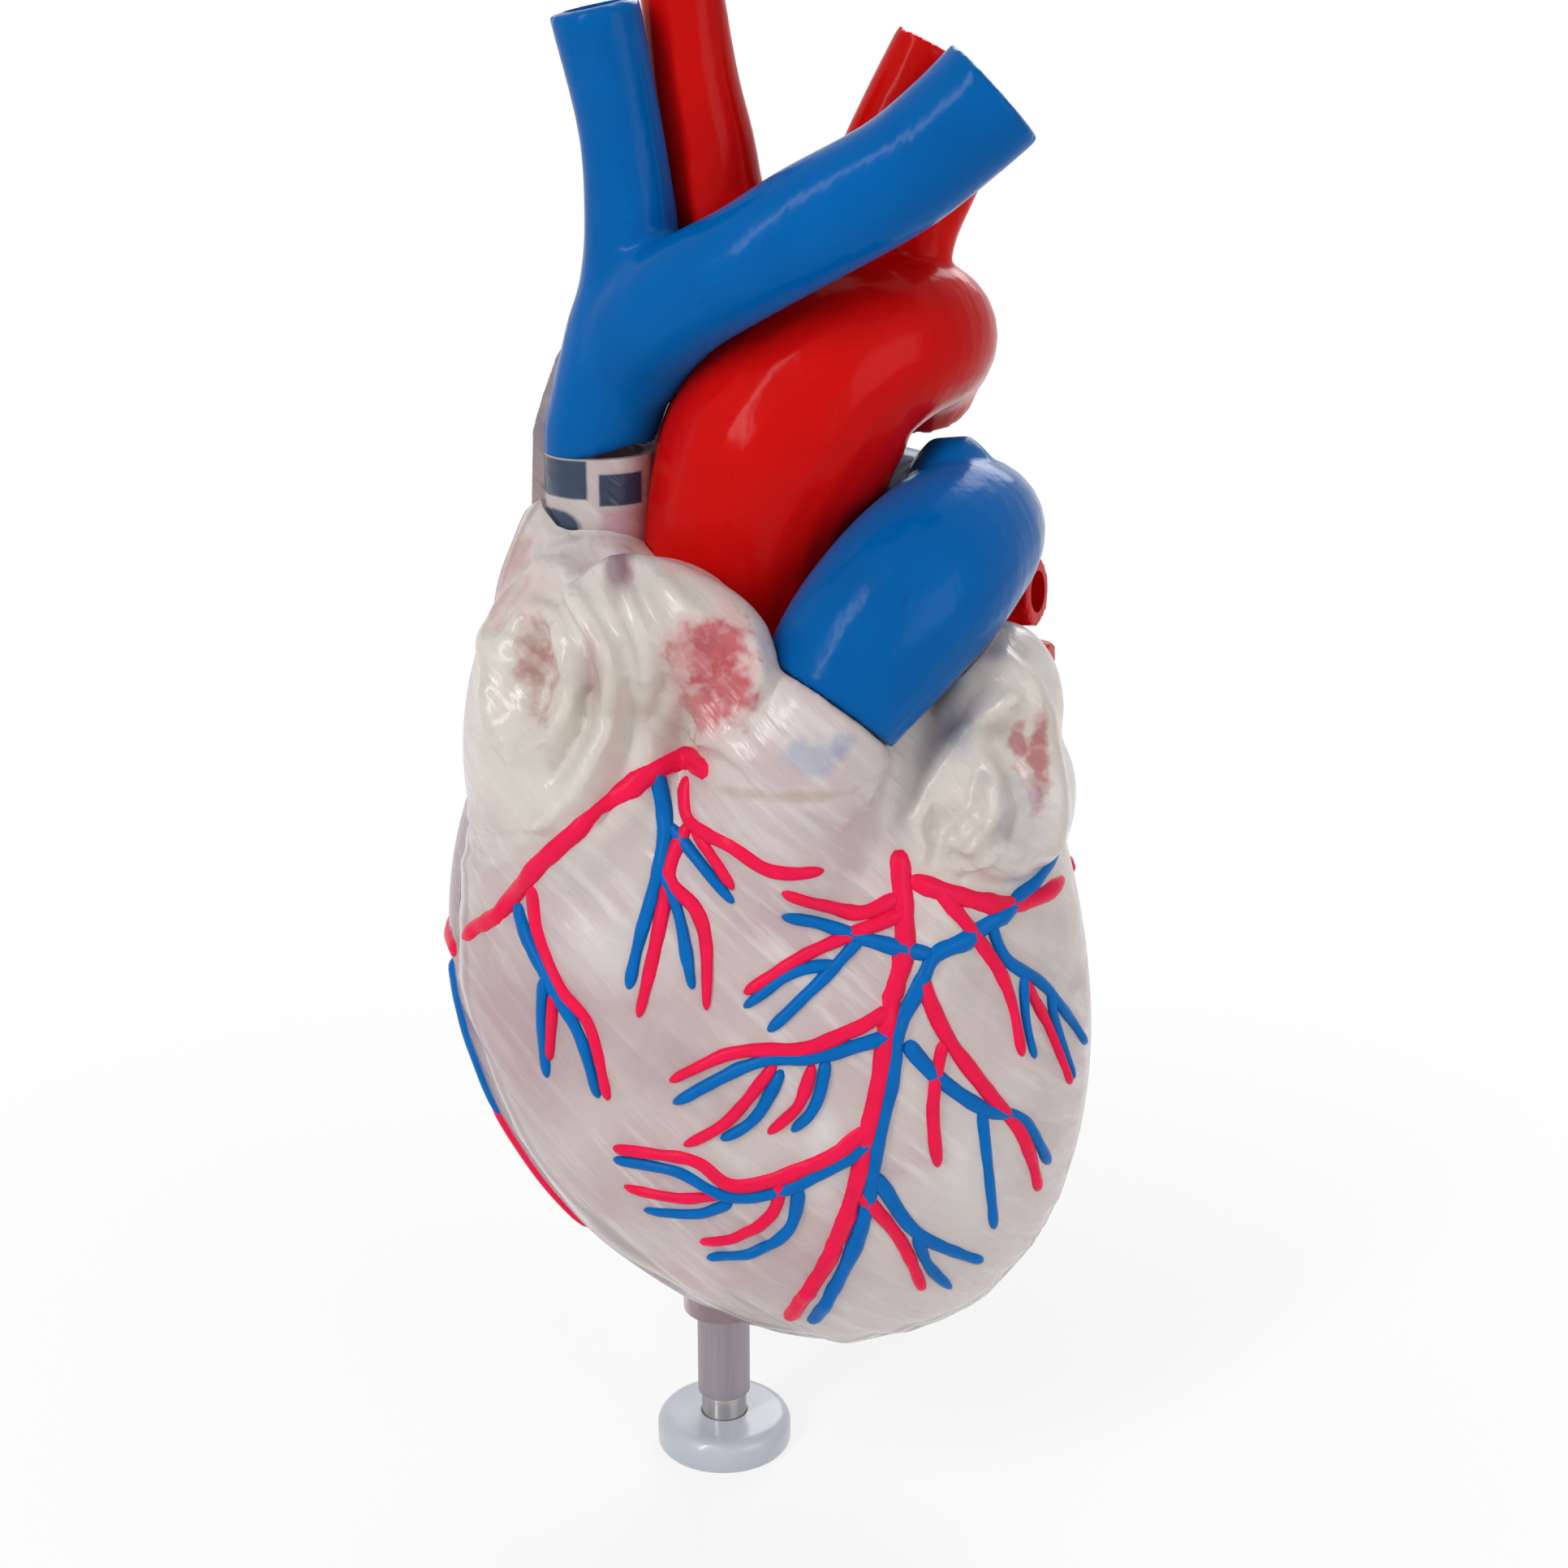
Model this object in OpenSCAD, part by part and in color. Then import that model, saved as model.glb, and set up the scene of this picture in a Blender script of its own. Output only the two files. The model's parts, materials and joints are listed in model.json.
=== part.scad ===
// Human heart model of life size on a short rod: a clear shell in two halves, painted vessels
// and the parts inside. Millimetres, +Z up, the viewer at -Y, origin under the foot's centre.

/* [Foot and stem] */
// Diameter of the foot disc
foot_d = 23; // [20:0.5:40]
// Height of the foot disc
foot_h = 5; // [4:0.5:8]
// Radius of the foot disc's upper rim
foot_rim = 2.4; // [1:0.2:3.6]
// Diameter of the pad under the foot
pad_d = 21.6; // [16:0.2:30]
// Thickness of the pad
pad_t = 1.2; // [0.8:0.1:2]
// Depth by which the pad sits in the foot disc
pad_sunk = 0.6; // [0.2:0.1:1]
// Diameter of the stand pin's shoulder
shoulder_d = 7.7; // [7:0.1:8.6]
// Height at which the stem tube rests on the shoulder
tube_z = 9.7; // [8:0.1:14]
// Outer diameter of the stem tube
tube_d = 8.9; // [8:0.1:12]
// Bore of the stem tube
tube_bore = 6.1; // [5:0.1:7]
// Length of the stem tube
tube_len = 30.3; // [24:0.1:36]
// Length of the stand pin inside the tube
spindle_len = 12; // [8:0.5:16]
// Radial clearance of the turning and the lift-off fit
run_fit = 0.05; // [0.02:0.01:0.1]
// Thread diameter of the foot screw
screw_d = 3; // [2.5:0.5:3.5]
// Length of the foot screw under its head
screw_len = 12; // [9:0.5:16]

/* [Stem socket] */
// Outer diameter of the socket in the underside of the heart
socket_d = 13.5; // [12.5:0.1:18]
// Length of the socket
socket_len = 17; // [12:0.5:22]
// Depth of the socket's bore
socket_depth = 14; // [8:0.5:16]

/* [Clear shell] */
// Wall of the clear shell
wall = 2.2; // [1.6:0.1:3]
// Half the width of the heart's body
body_half_w = 51.3; // [44:0.1:56]
// Depth of the body in front of its middle
body_front = 40; // [34:0.5:44]
// Depth of the body behind its middle
body_back = 37; // [32:0.5:42]
// Height of the apex over the floor
apex_z = 23; // [21:0.5:24]
// Height of the top of the body's egg
crown_z = 150; // [147:0.5:153]
// Turn of the seam about the upright axis
seam_turn = 7.5; // [4:0.5:10]
// Lean of the seam to the back
seam_lean = 12; // [9:0.5:14]
// Distance of the seam before the rod axis, at mid height
seam_y = 7.4; // [6:0.1:9]
// Gap between the two halves
seam_gap = 0.2; // [0.1:0.05:0.4]
// Length of each locating tab across the seam
tab_len = 10; // [8:0.5:14]
// Width of each locating tab
tab_w = 12; // [8:0.5:16]
// Thickness of each locating tab
tab_t = 1.6; // [1.2:0.1:2.4]
// Gap round the parts that are glued into the shell
glue_gap = 0.1; // [0.05:0.01:0.3]
// Gap between the vessels and the shell
vessel_gap = 0.3; // [0.2:0.05:0.5]

/* [Vessels] */
// Wall of the painted vessels
vessel_wall = 2.2; // [1.6:0.1:2.6]
// Wall of the clear neck under the superior vena cava
neck_wall = 1.9; // [1.4:0.1:2.4]

/* [Inside] */
// Height of the upper face of the valve floor
floor_z = 119; // [116:0.5:121]
// Thickness of the valve floor
floor_t = 3; // [2:0.5:5]
// Thickness of the septum between the ventricles
septum_t = 4.5; // [3:0.5:7]
// Outer radius of the tricuspid valve's ring
tricuspid_r = 11; // [9:0.25:12]
// Outer radius of the mitral valve's ring
mitral_r = 10.5; // [9:0.25:11.5]
// Thickness of the valve leaflets
leaf_t = 1; // [0.8:0.1:1.4]
// Length of the leaflets under the valve floor
leaf_len = 13; // [9:0.5:16]
// Radius of the strings
string_r = 0.6; // [0.5:0.1:1]

/* [Hidden] */

blue = [0, 0.37, 0.67];
red = [0.79, 0.05, 0.05];
coronary_red = [0.94, 0.08, 0.31];
clear = [0.85, 0.8, 0.78, 0.45];
far = 400;
round_sides = 48;

// ---- Routes of the vessels: x, y, z and outer radius, chosen along the casting ----
aorta_route = [
    [9, 0, 119.4, 9.2], [9, 0, 125, 10.3], [5.8, 0, 137, 12.8], [4.4, 0.5, 151, 15.1], [7, 0, 164, 16],
    [12, 0, 175, 16.3], [19.5, 1, 184, 14.8], [26, 3.5, 187.5, 12.9], [30.5, 9, 188, 12],
    [32.5, 15.5, 186.5, 11.5], [32.5, 21, 183, 11.2], [32.2, 25.6, 177.5, 11]
];
brachiocephalic_route = [
    [9, 3, 188, 7.5], [4, 8, 199, 7.2], [0.7, 8.4, 208, 7.1], [-0.6, 8.4, 216, 6.9],
    [-2.9, 7.8, 226, 6.4], [-4.7, 7, 239, 6.1]
];
carotid_route = [[19.2, 5, 192, 5.4], [19.4, 8, 203, 5.2], [22, 8, 211, 5.2], [26, 8, 220, 5.1], [31.5, 8, 231, 5]];
subclavian_route = [[29.5, 8, 194, 5.6], [31, 9, 203, 5.3], [34.5, 10, 211, 5.2], [38.5, 10, 220, 5.1]];
cava_route = [
    [-17.8, 2, 172, 8.4], [-17.8, 2, 174, 8.4], [-15.5, 2, 181.5, 8.9], [-12.8, 1.5, 190, 9.3],
    [-12.1, 1, 198, 7.8], [-12.3, 0.5, 208, 6.8], [-13.6, 0, 220, 6.2], [-16.8, -1, 236, 6.7]
];
left_vein_route = [
    [-12.8, -1, 187, 8.9], [-4.5, -7.5, 195.4, 8.6], [5, -11.4, 201.2, 8.4], [14, -12.2, 206.5, 8.7],
    [26, -12.2, 213, 8.6], [34, -12.2, 219.3, 8.7], [40, -12.2, 224.8, 9]
];
trunk_route = [
    [16.5, -25, 139.5, 11.5], [22.5, -22, 147.5, 13], [31, -15.8, 155, 13.5], [38, -6, 159, 12.6],
    [41.5, 4, 158, 11.6], [43.5, 13, 155.5, 10.5]
];
right_pulmonary_route = [
    [37, 6, 160.5, 8.6], [28.5, 19.5, 161, 8.2], [12, 27, 163, 8], [-6, 26.5, 164.5, 8],
    [-20, 24.5, 163, 7.5], [-33, 21, 160, 7]
];
lower_cava_route = [[-14, 22, 112, 9], [-15, 31, 101, 9], [-16, 37, 92, 8.8], [-16.5, 41, 83, 8.6]];
left_vein_stubs = [
    [[28, 24, 146, 6], [42, 19, 146, 5.6], [51, 15, 146.5, 5.6]],
    [[28, 26, 133, 6], [43, 21, 133, 5.6], [53, 17, 132, 5.6]]
];
right_vein_stubs = [
    [[-8, 24, 146, 6], [-24, 22, 147, 5.6], [-35, 19, 148, 5.4]],
    [[-8, 26, 134, 6], [-26, 25, 134, 5.6], [-37, 22, 134, 5.4]]
];

// ---- Swept tubes ----
function unit(v) = v / norm(v);
function xyz(p) = [p[0], p[1], p[2]];
// Point at the share t of the way from knot i to the next, on a curve through all the knots
function curve_at(p, i, t) =
    let (a = p[max(i - 1, 0)], b = p[i], c = p[i + 1], d = p[min(i + 2, len(p) - 1)])
    b + (c - a) * t / 2 + (2 * a - 5 * b + 4 * c - d) * t * t / 2 + (3 * b - a - 3 * c + d) * t * t * t / 2;
function smooth(p, steps) = [
    for (i = [0 : len(p) - 2]) for (j = [0 : steps - 1]) curve_at(p, i, j / steps),
    p[len(p) - 1]
];
function tangent(p, i) = unit(xyz(p[min(i + 1, len(p) - 1)]) - xyz(p[max(i - 1, 0)]));
// The side direction of each ring keeps as close as it can to the one before it
function sides_from(p, i, side) =
    let (t = tangent(p, i), s = unit(side - t * (side * t)))
    i == len(p) - 1 ? [s] : concat([s], sides_from(p, i + 1, s));
function ring(p, i, side, grow, n) =
    let (t = tangent(p, i), v = cross(t, side), r = p[i][3] + grow)
    [for (k = [0 : n - 1]) xyz(p[i]) + r * (cos(360 * k / n) * side + sin(360 * k / n) * v)];
function first_side(p) = let (t = tangent(p, 0)) abs(t[0]) > 0.8 ? [0, 0, 1] : [1, 0, 0];
function all_rings(p, grow, n, first) =
    let (sides = sides_from(p, 0, is_undef(first) ? first_side(p) : first))
    [for (i = [0 : len(p) - 1]) ring(p, i, sides[i], grow, n)];
function flat(lists) = [for (l = lists) each l];
// Two triangles for each field between ring i and ring i + 1
function skin(rings, n) = [
    for (i = [0 : rings - 2]) for (k = [0 : n - 1])
    let (a = i * n + k, b = i * n + (k + 1) % n)
    each [[a, a + n, b + n], [a, b + n, b]]
];
module loft(rings) {
    n = len(rings[0]);
    last = (len(rings) - 1) * n;
    polyhedron(flat(rings), concat(
        skin(len(rings), n),
        [[for (k = [0 : n - 1]) k]],
        [[for (k = [0 : n - 1]) last + n - 1 - k]]
    ));
}
// A round bar along a route, its ends moved outwards by over
module bar(route, grow, steps = 1, n = 14, over = 0, first = undef) {
    p = smooth(route, steps);
    last = len(p) - 1;
    start = concat(xyz(p[0]) - over * tangent(p, 0), p[0][3]);
    end = concat(xyz(p[last]) + over * tangent(p, last), p[last][3]);
    loft(all_rings(concat([start], [for (i = [1 : 1 : last - 1]) p[i]], [end]), grow, n, first));
}
// A round pipe along a route, open at both ends
module pipe(route, thickness, steps = 1, n = 14) {
    p = smooth(route, steps);
    outer = all_rings(p, 0, n);
    inner = all_rings(p, -thickness, n);
    m = len(p) * n;
    top = m - n;
    inner_skin = [for (f = skin(len(p), n)) [f[0] + m, f[2] + m, f[1] + m]];
    rims = [
        for (k = [0 : n - 1]) let (next = (k + 1) % n)
        each [
            [k, next, m + next], [k, m + next, m + k],
            [top + next, top + k, m + top + k], [top + next, m + top + k, m + top + next]
        ]
    ];
    polyhedron(concat(flat(outer), flat(inner)), concat(skin(len(p), n), inner_skin, rims));
}
// Children fused into one faceted solid: a resize to no new size
module fused() {
    resize([0, 0, 0]) children();
}

// ---- The heart's outer form: an egg with lobes, grown or shrunk by grow ----
egg_mid = (apex_z + crown_z) / 2;
egg_half = (crown_z - apex_z) / 2;
egg_rings = 12;
egg_sides = 26;
// Middle of the section: c is 1 at the apex, -1 at the crown
function egg_x(c) = 7.9 + 8.5 * c + 5 * c * c;
function egg_y(c) = -3 * c;
function egg_share(c) = pow(sqrt(max(0, 1 - c * c)), c < 0 ? 0.8 : 1);
function egg_ring(c, grow) =
    let (s = egg_share(c))
    [for (k = [0 : egg_sides - 1])
        let (t = 360 * k / egg_sides, depth = (sin(t) < 0 ? body_front : body_back) + grow)
        [egg_x(c) + s * (body_half_w + grow) * cos(t), egg_y(c) + s * depth * sin(t),
            egg_mid - c * (egg_half + grow)]];
module egg(grow) {
    loft([for (i = [0 : egg_rings]) egg_ring(cos(3 + 174 * i / egg_rings), grow)]);
}
// Lobes: centre and half sizes
right_atrium = [[-18, -7, 137], [22, 26, 29]];
left_auricle_low = [[40, -12, 124], [14.5, 18, 13]];
left_auricle_high = [[44, -10, 136], [10, 14, 14]];
left_atrium = [[12, 19, 137], [28, 18, 16.5]];
right_auricle_root = [[-9.5, -20.5, 147.5], [15.2, 13.5, 12.6]];
right_auricle_route = [
    [-15, -17, 151, 6.5], [-12.5, -22.5, 154, 7.4], [-6.5, -26.3, 152, 8.8], [0.4, -28.2, 147, 9.3],
    [2.2, -27.5, 139.5, 7.4], [4, -22.5, 131.5, 5]
];
module lobe(form, grow) {
    translate(form[0]) scale(form[1] + [grow, grow, grow]) sphere(r = 1, $fn = 14);
}
// The collar under the pulmonary trunk rises out of the right ventricle and ends square to the trunk
trunk_dir = unit(xyz(trunk_route[1]) - xyz(trunk_route[0]));
collar_r = trunk_route[0][3] + 0.4;
collar_route = [
    [8, -17, 106, collar_r + 6], [9, -22, 117, collar_r + 4.5],
    concat(xyz(trunk_route[0]) - 10 * trunk_dir, collar_r + 1.2),
    concat(xyz(trunk_route[0]) - vessel_gap * trunk_dir, collar_r)
];
module heart_form(grow, over = 0) {
    union() {
        egg(grow);
        lobe(right_atrium, grow);
        lobe(right_auricle_root, grow);
        lobe(left_auricle_low, grow);
        lobe(left_auricle_high, grow);
        lobe(left_atrium, grow);
        bar(right_auricle_route, grow, n = 12, over = max(0, grow));
        bar(collar_route, grow, over = over);
    }
}
module shell_wall() {
    difference() {
        heart_form(0);
        heart_form(-wall, over = 3);
    }
}
// The seam's own frame: its plane is y = 0, the back half lies at +y
module seam_frame() {
    translate([0, -seam_y, 100]) rotate([-seam_lean, 0, seam_turn]) children();
}
pull = [sin(seam_turn) * cos(seam_lean), -cos(seam_turn) * cos(seam_lean), sin(seam_lean)];
module half_space(side) {
    seam_frame() translate([-far / 2, side * seam_gap / 2 + (side > 0 ? 0 : -far), -far / 2]) cube(far);
}
// Room for a vessel as the front shell is pulled off it
module pull_room(route, last) {
    lead = concat(xyz(route[0]) - vessel_gap / 2 * tangent(route, 0), route[0][3]);
    rings = all_rings(concat([lead], route), vessel_gap, 14);
    for (i = [0 : last]) {
        hull() {
            loft([rings[i], rings[i + 1]]);
            translate(-60 * pull) loft([rings[i], rings[i + 1]]);
        }
    }
}

// ---- Foot and stem ----
disc_z = pad_t - pad_sunk;
foot_top = disc_z + foot_h;
screw_head_d = screw_d * 2;
screw_head_h = 1.6;
module foot_pad() {
    color("dimgray") difference() {
        cylinder(d = pad_d, h = pad_t, $fn = round_sides);
        translate([0, 0, -1]) cylinder(d = screw_head_d + 2, h = pad_t + 2, $fn = round_sides);
    }
}
module foot_disc() {
    color("white") difference() {
        rotate_extrude($fn = 96) {
            translate([0, disc_z]) square([foot_d / 2 - foot_rim, foot_h]);
            translate([0, disc_z]) square([foot_d / 2, foot_h - foot_rim]);
            translate([foot_d / 2 - foot_rim, foot_top - foot_rim]) circle(r = foot_rim, $fn = 48);
        }
        translate([0, 0, disc_z - 1]) cylinder(d = pad_d + 2 * run_fit, h = pad_sunk + 1, $fn = round_sides);
        cylinder(d = screw_d + 0.2, h = far, $fn = round_sides);
        translate([0, 0, pad_t - 1]) cylinder(d = screw_head_d + 0.2, h = screw_head_h + 1, $fn = round_sides);
        translate([0, 0, foot_top - 1]) cylinder(d = shoulder_d + 2 * run_fit, h = 2, $fn = round_sides);
    }
}
module foot_screw() {
    color("silver") union() {
        translate([0, 0, pad_t]) cylinder(d = screw_head_d, h = screw_head_h, $fn = round_sides);
        translate([0, 0, pad_t]) cylinder(d = screw_d, h = screw_head_h + screw_len, $fn = round_sides);
    }
}
spindle_d = tube_bore - 2 * run_fit;
pin_bottom = foot_top - 1;
module stand_pin() {
    color("silver") difference() {
        union() {
            translate([0, 0, pin_bottom]) cylinder(d = shoulder_d, h = tube_z - pin_bottom, $fn = round_sides);
            translate([0, 0, tube_z]) cylinder(d = spindle_d, h = spindle_len, $fn = round_sides);
        }
        translate([0, 0, pin_bottom - 1])
            cylinder(d = screw_d + 0.02, h = pad_t + screw_head_h + screw_len - pin_bottom + 2, $fn = round_sides);
    }
}
module stem_tube() {
    color("darkgray") difference() {
        translate([0, 0, tube_z]) cylinder(d = tube_d, h = tube_len, $fn = round_sides);
        translate([0, 0, tube_z - 1]) cylinder(d = tube_bore, h = tube_len + 2, $fn = round_sides);
    }
}
socket_bore = tube_d + 2 * run_fit;
socket_z = tube_z + tube_len - socket_depth;
module stem_socket() {
    color(clear) difference() {
        translate([0, 0, socket_z]) cylinder(d = socket_d, h = socket_len, $fn = round_sides);
        translate([0, 0, socket_z - 1]) cylinder(d = socket_bore, h = socket_depth + 1, $fn = round_sides);
    }
}

// ---- Clear shell ----
// A clear neck stands on the right atrium, and a half sleeve rises behind the upper cava's end
neck_top = cava_route[0] - [0, 0, vessel_gap, 0];
neck_route = [[neck_top[0], neck_top[1], 158, neck_top[3]], neck_top];
sleeve_route = [cava_route[0] - [0, 0, 10, 0], for (i = [0 : 3]) cava_route[i]];
module cava_neck() {
    difference() {
        union() {
            bar(neck_route, 0);
            intersection() {
                bar(sleeve_route, vessel_gap + neck_wall);
                half_space(1);
            }
        }
        bar(neck_route, -neck_wall, over = 8);
        bar(cava_route, vessel_gap, over = 1);
        heart_form(-wall);
    }
}
module back_shell() {
    color(clear) fused() difference() {
        union() {
            intersection() {
                shell_wall();
                half_space(1);
            }
            cava_neck();
        }
        bar(neck_route, -neck_wall, over = 8);
        bar(aorta_route, vessel_gap, over = vessel_gap);
        bar(trunk_route, vessel_gap, over = vessel_gap);
        cylinder(r = socket_d / 2 + glue_gap, h = socket_z + socket_len, $fn = round_sides);
    }
}
module front_shell() {
    color(clear) fused() difference() {
        intersection() {
            shell_wall();
            half_space(-1);
        }
        pull_room(aorta_route, 5);
        pull_room(trunk_route, 5);
        pull_room([for (p = neck_route) p + [0, 0, 0, vessel_gap]], 1);
    }
}
// Each tab: its place round the rim, seen in the seam's frame
tab_angles = [187, 353, 40, 132];
module locating_tabs() {
    color(clear) fused() intersection() {
        difference() {
            heart_form(-wall - vessel_gap);
            heart_form(-wall - vessel_gap - tab_t);
        }
        seam_frame() for (a = tab_angles) {
            rotate([0, a, 0]) translate([20, -tab_len / 2, -tab_w / 2]) cube([60, tab_len, tab_w]);
        }
    }
}

// ---- Vessels ----
module aorta() {
    color(red) fused() pipe(aorta_route, vessel_wall);
}
module branch(route, stem) {
    fused() difference() {
        pipe(route, vessel_wall, n = 12);
        bar(stem, 0);
    }
}
module brachiocephalic_artery() {
    color(red) branch(brachiocephalic_route, aorta_route);
}
module left_carotid_artery() {
    color(red) branch(carotid_route, aorta_route);
}
module left_subclavian_artery() {
    color(red) branch(subclavian_route, aorta_route);
}
module superior_vena_cava() {
    color(blue) fused() pipe(cava_route, vessel_wall);
}
module left_brachiocephalic_vein() {
    color(blue) branch(left_vein_route, cava_route);
}
module pulmonary_trunk() {
    color(blue) fused() pipe(trunk_route, vessel_wall);
}
module right_pulmonary_artery() {
    color(blue) branch(right_pulmonary_route, trunk_route);
}
module vein_stubs(routes) {
    for (route = routes) {
        difference() {
            pipe(route, vessel_wall, n = 12);
            heart_form(0);
        }
    }
}
module inferior_vena_cava() {
    color(blue) fused() vein_stubs([lower_cava_route]);
}
module left_pulmonary_veins() {
    color(red) fused() vein_stubs(left_vein_stubs);
}
module right_pulmonary_veins() {
    color(red) fused() vein_stubs(right_vein_stubs);
}

// ---- Painted coronary vessels, raised on the shell ----
// Each line: half widths at its start and its end, then its points
// On the front: x and z as the viewer sees them
front_arteries = [
    [[1.7, 0.9], [[0, 132.5], [-7.5, 131], [-16, 126], [-25.5, 116.5], [-31, 108], [-37, 101.5], [-42, 96]]],
    [[1.1, 0.55], [[-4, 130], [-3.5, 124], [2.5, 122], [8.5, 118.5], [16, 118]]],
    [[0.85, 0.45], [[-3.2, 123.3], [0, 119.5], [3, 115]]],
    [[0.97, 0.45], [[-3.5, 123.5], [-6.5, 116], [-2.5, 111.5], [-1, 106], [-1, 97]]],
    [[0.85, 0.45], [[-6.5, 115.5], [-8.5, 105.5], [-11, 95]]],
    [[0.97, 0.45], [[-27, 112.5], [-26.5, 105], [-23, 97], [-18.5, 92], [-16, 80.5]]],
    [[0.72, 0.45], [[-24, 96.5], [-25, 85]]],
    [[1.7, 1.2], [[27, 119], [28, 105.5], [26, 96.5], [24.5, 85.5], [23, 78], [20.5, 65.5], [17, 53.5], [13, 44.5], [11, 38]]],
    [[0.97, 0.45], [[27.5, 112.5], [21.5, 110.5], [15.5, 112.5], [10, 115]]],
    [[0.97, 0.45], [[28, 110], [14.5, 105.5], [4.5, 99.5]]],
    [[1.1, 0.45], [[26, 96], [14.5, 91.5], [3, 90.5], [-6.5, 85.5]]],
    [[0.72, 0.45], [[9, 89], [2.5, 80], [-4.5, 75]]],
    [[0.72, 0.45], [[14.5, 89], [12.5, 82.5], [8, 77.5]]],
    [[1.35, 0.55], [[23, 78], [14.5, 72], [3, 68.5], [-3.5, 72.5], [-15.5, 72]]],
    [[0.72, 0.45], [[1.5, 67], [-5, 65], [-14, 65]]],
    [[0.72, 0.55], [[9.5, 70], [9, 64.5], [4.5, 59.5], [-2.5, 56]]],
    [[1.5, 1.1], [[28.5, 114.5], [38.5, 110], [46.5, 107], [54, 107]]],
    [[1.1, 0.55], [[32.5, 113], [38.5, 105], [43.5, 96.5], [46.5, 84.5]]],
    [[0.72, 0.45], [[46.5, 96], [50.5, 87.5], [55, 76]]],
    [[1.1, 0.65], [[30, 101], [34.5, 90.5], [41.5, 79.5], [47, 71], [50.5, 58.5]]],
    [[0.85, 0.55], [[34, 90], [32.5, 80.5], [33.5, 69.5]]],
    [[0.97, 0.55], [[21.5, 67], [28, 57], [32, 45.5]]]
];
front_veins = [
    [[1.3, 0.9], [[53, 112], [45, 107.5], [37.5, 104.5], [32.5, 103], [30, 98.5], [27, 92.5], [26, 84], [24, 74],
        [22.5, 62.5], [20, 53], [17, 44.5], [14.5, 38]]],
    [[0.97, 0.55], [[32.5, 103], [21.5, 107], [15.5, 109.5], [10, 111]]],
    [[0.72, 0.45], [[21.5, 107], [16.5, 102], [8, 94]]],
    [[0.72, 0.45], [[18, 103.5], [11.5, 102.5], [4.5, 97.5]]],
    [[0.97, 0.45], [[27, 92.5], [15.5, 90], [6, 89], [-6, 82]]],
    [[0.72, 0.45], [[10, 88], [6, 80], [1, 76.5]]],
    [[0.72, 0.45], [[16.5, 89.5], [15, 82.5], [11.5, 78]]],
    [[0.97, 0.55], [[24, 76], [15.5, 70.5], [9.5, 67.5], [1.5, 66.5], [-6, 70], [-15.5, 70]]],
    [[0.72, 0.45], [[2.5, 65.5], [-2.5, 62.5], [-11, 61]]],
    [[0.72, 0.55], [[12.5, 68.5], [11.5, 61.5], [7, 56.5], [-1.5, 53]]],
    [[0.85, 0.45], [[41, 106.5], [43.5, 100], [50.5, 93], [58, 80]]],
    [[0.72, 0.45], [[46.5, 97], [47, 89], [48.5, 83.5]]],
    [[0.72, 0.45], [[51, 93], [52, 87], [55.5, 76.5]]],
    [[1.1, 0.55], [[28, 91], [32.5, 85], [40, 78], [47, 73.5], [52, 63]]],
    [[0.72, 0.45], [[40, 78], [41, 70.5], [43, 55]]],
    [[0.85, 0.55], [[24, 70], [30.5, 58], [41.5, 48.5]]],
    [[0.72, 0.45], [[30.5, 58], [32.5, 51], [36.5, 44.5]]],
    [[1.1, 0.55], [[-8.5, 132], [-7, 123.5], [-8, 116], [-10.5, 107.5], [-12.5, 99]]],
    [[0.72, 0.45], [[-7.5, 117], [-5, 110.5], [-3, 100]]],
    [[0.72, 0.45], [[-6.5, 123], [-2, 118.5], [3, 113]]],
    [[1.1, 0.55], [[-29.6, 108.5], [-28.5, 104.5], [-24, 97], [-20, 90], [-17.5, 80.5]]],
    [[0.72, 0.45], [[-25.5, 98.5], [-26, 91], [-25.5, 82]]]
];
// On the back: the angle round the body, 90 at the very back and 180 at the viewer's left, and z
back_arteries = [
    [[1.5, 1.2], [[202, 96], [180, 95], [160, 95], [140, 96], [122, 98], [104, 100]]],
    [[1.35, 0.65], [[104, 100], [97, 88], [93, 75], [88, 60], [83, 46], [78, 37]]],
    [[1.35, 0.85], [[-6, 104], [18, 104], [38, 103], [58, 101]]],
    [[0.97, 0.55], [[160, 95], [158, 84], [150, 73]]],
    [[0.85, 0.55], [[96, 84], [111, 74], [124, 64]]],
    [[0.97, 0.55], [[38, 103], [40, 90], [44, 76]]],
    [[0.97, 0.55], [[190, 95], [196, 76], [206, 63], [216, 53]]]
];
back_veins = [
    [[1.23, 0.85], [[201, 90], [202, 82], [207, 75], [211, 68]]],
    [[1.6, 1.6], [[-6, 110], [20, 111], [39, 110], [60, 109], [85, 108], [100, 107]]],
    [[1.35, 0.65], [[98, 107], [106, 92], [101, 76], [96, 60], [90, 46], [85, 38]]],
    [[0.97, 0.85], [[184, 87], [172, 86], [158, 87], [146, 89]]],
    [[0.85, 0.55], [[85, 108], [80, 92], [74, 78]]]
];
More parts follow.
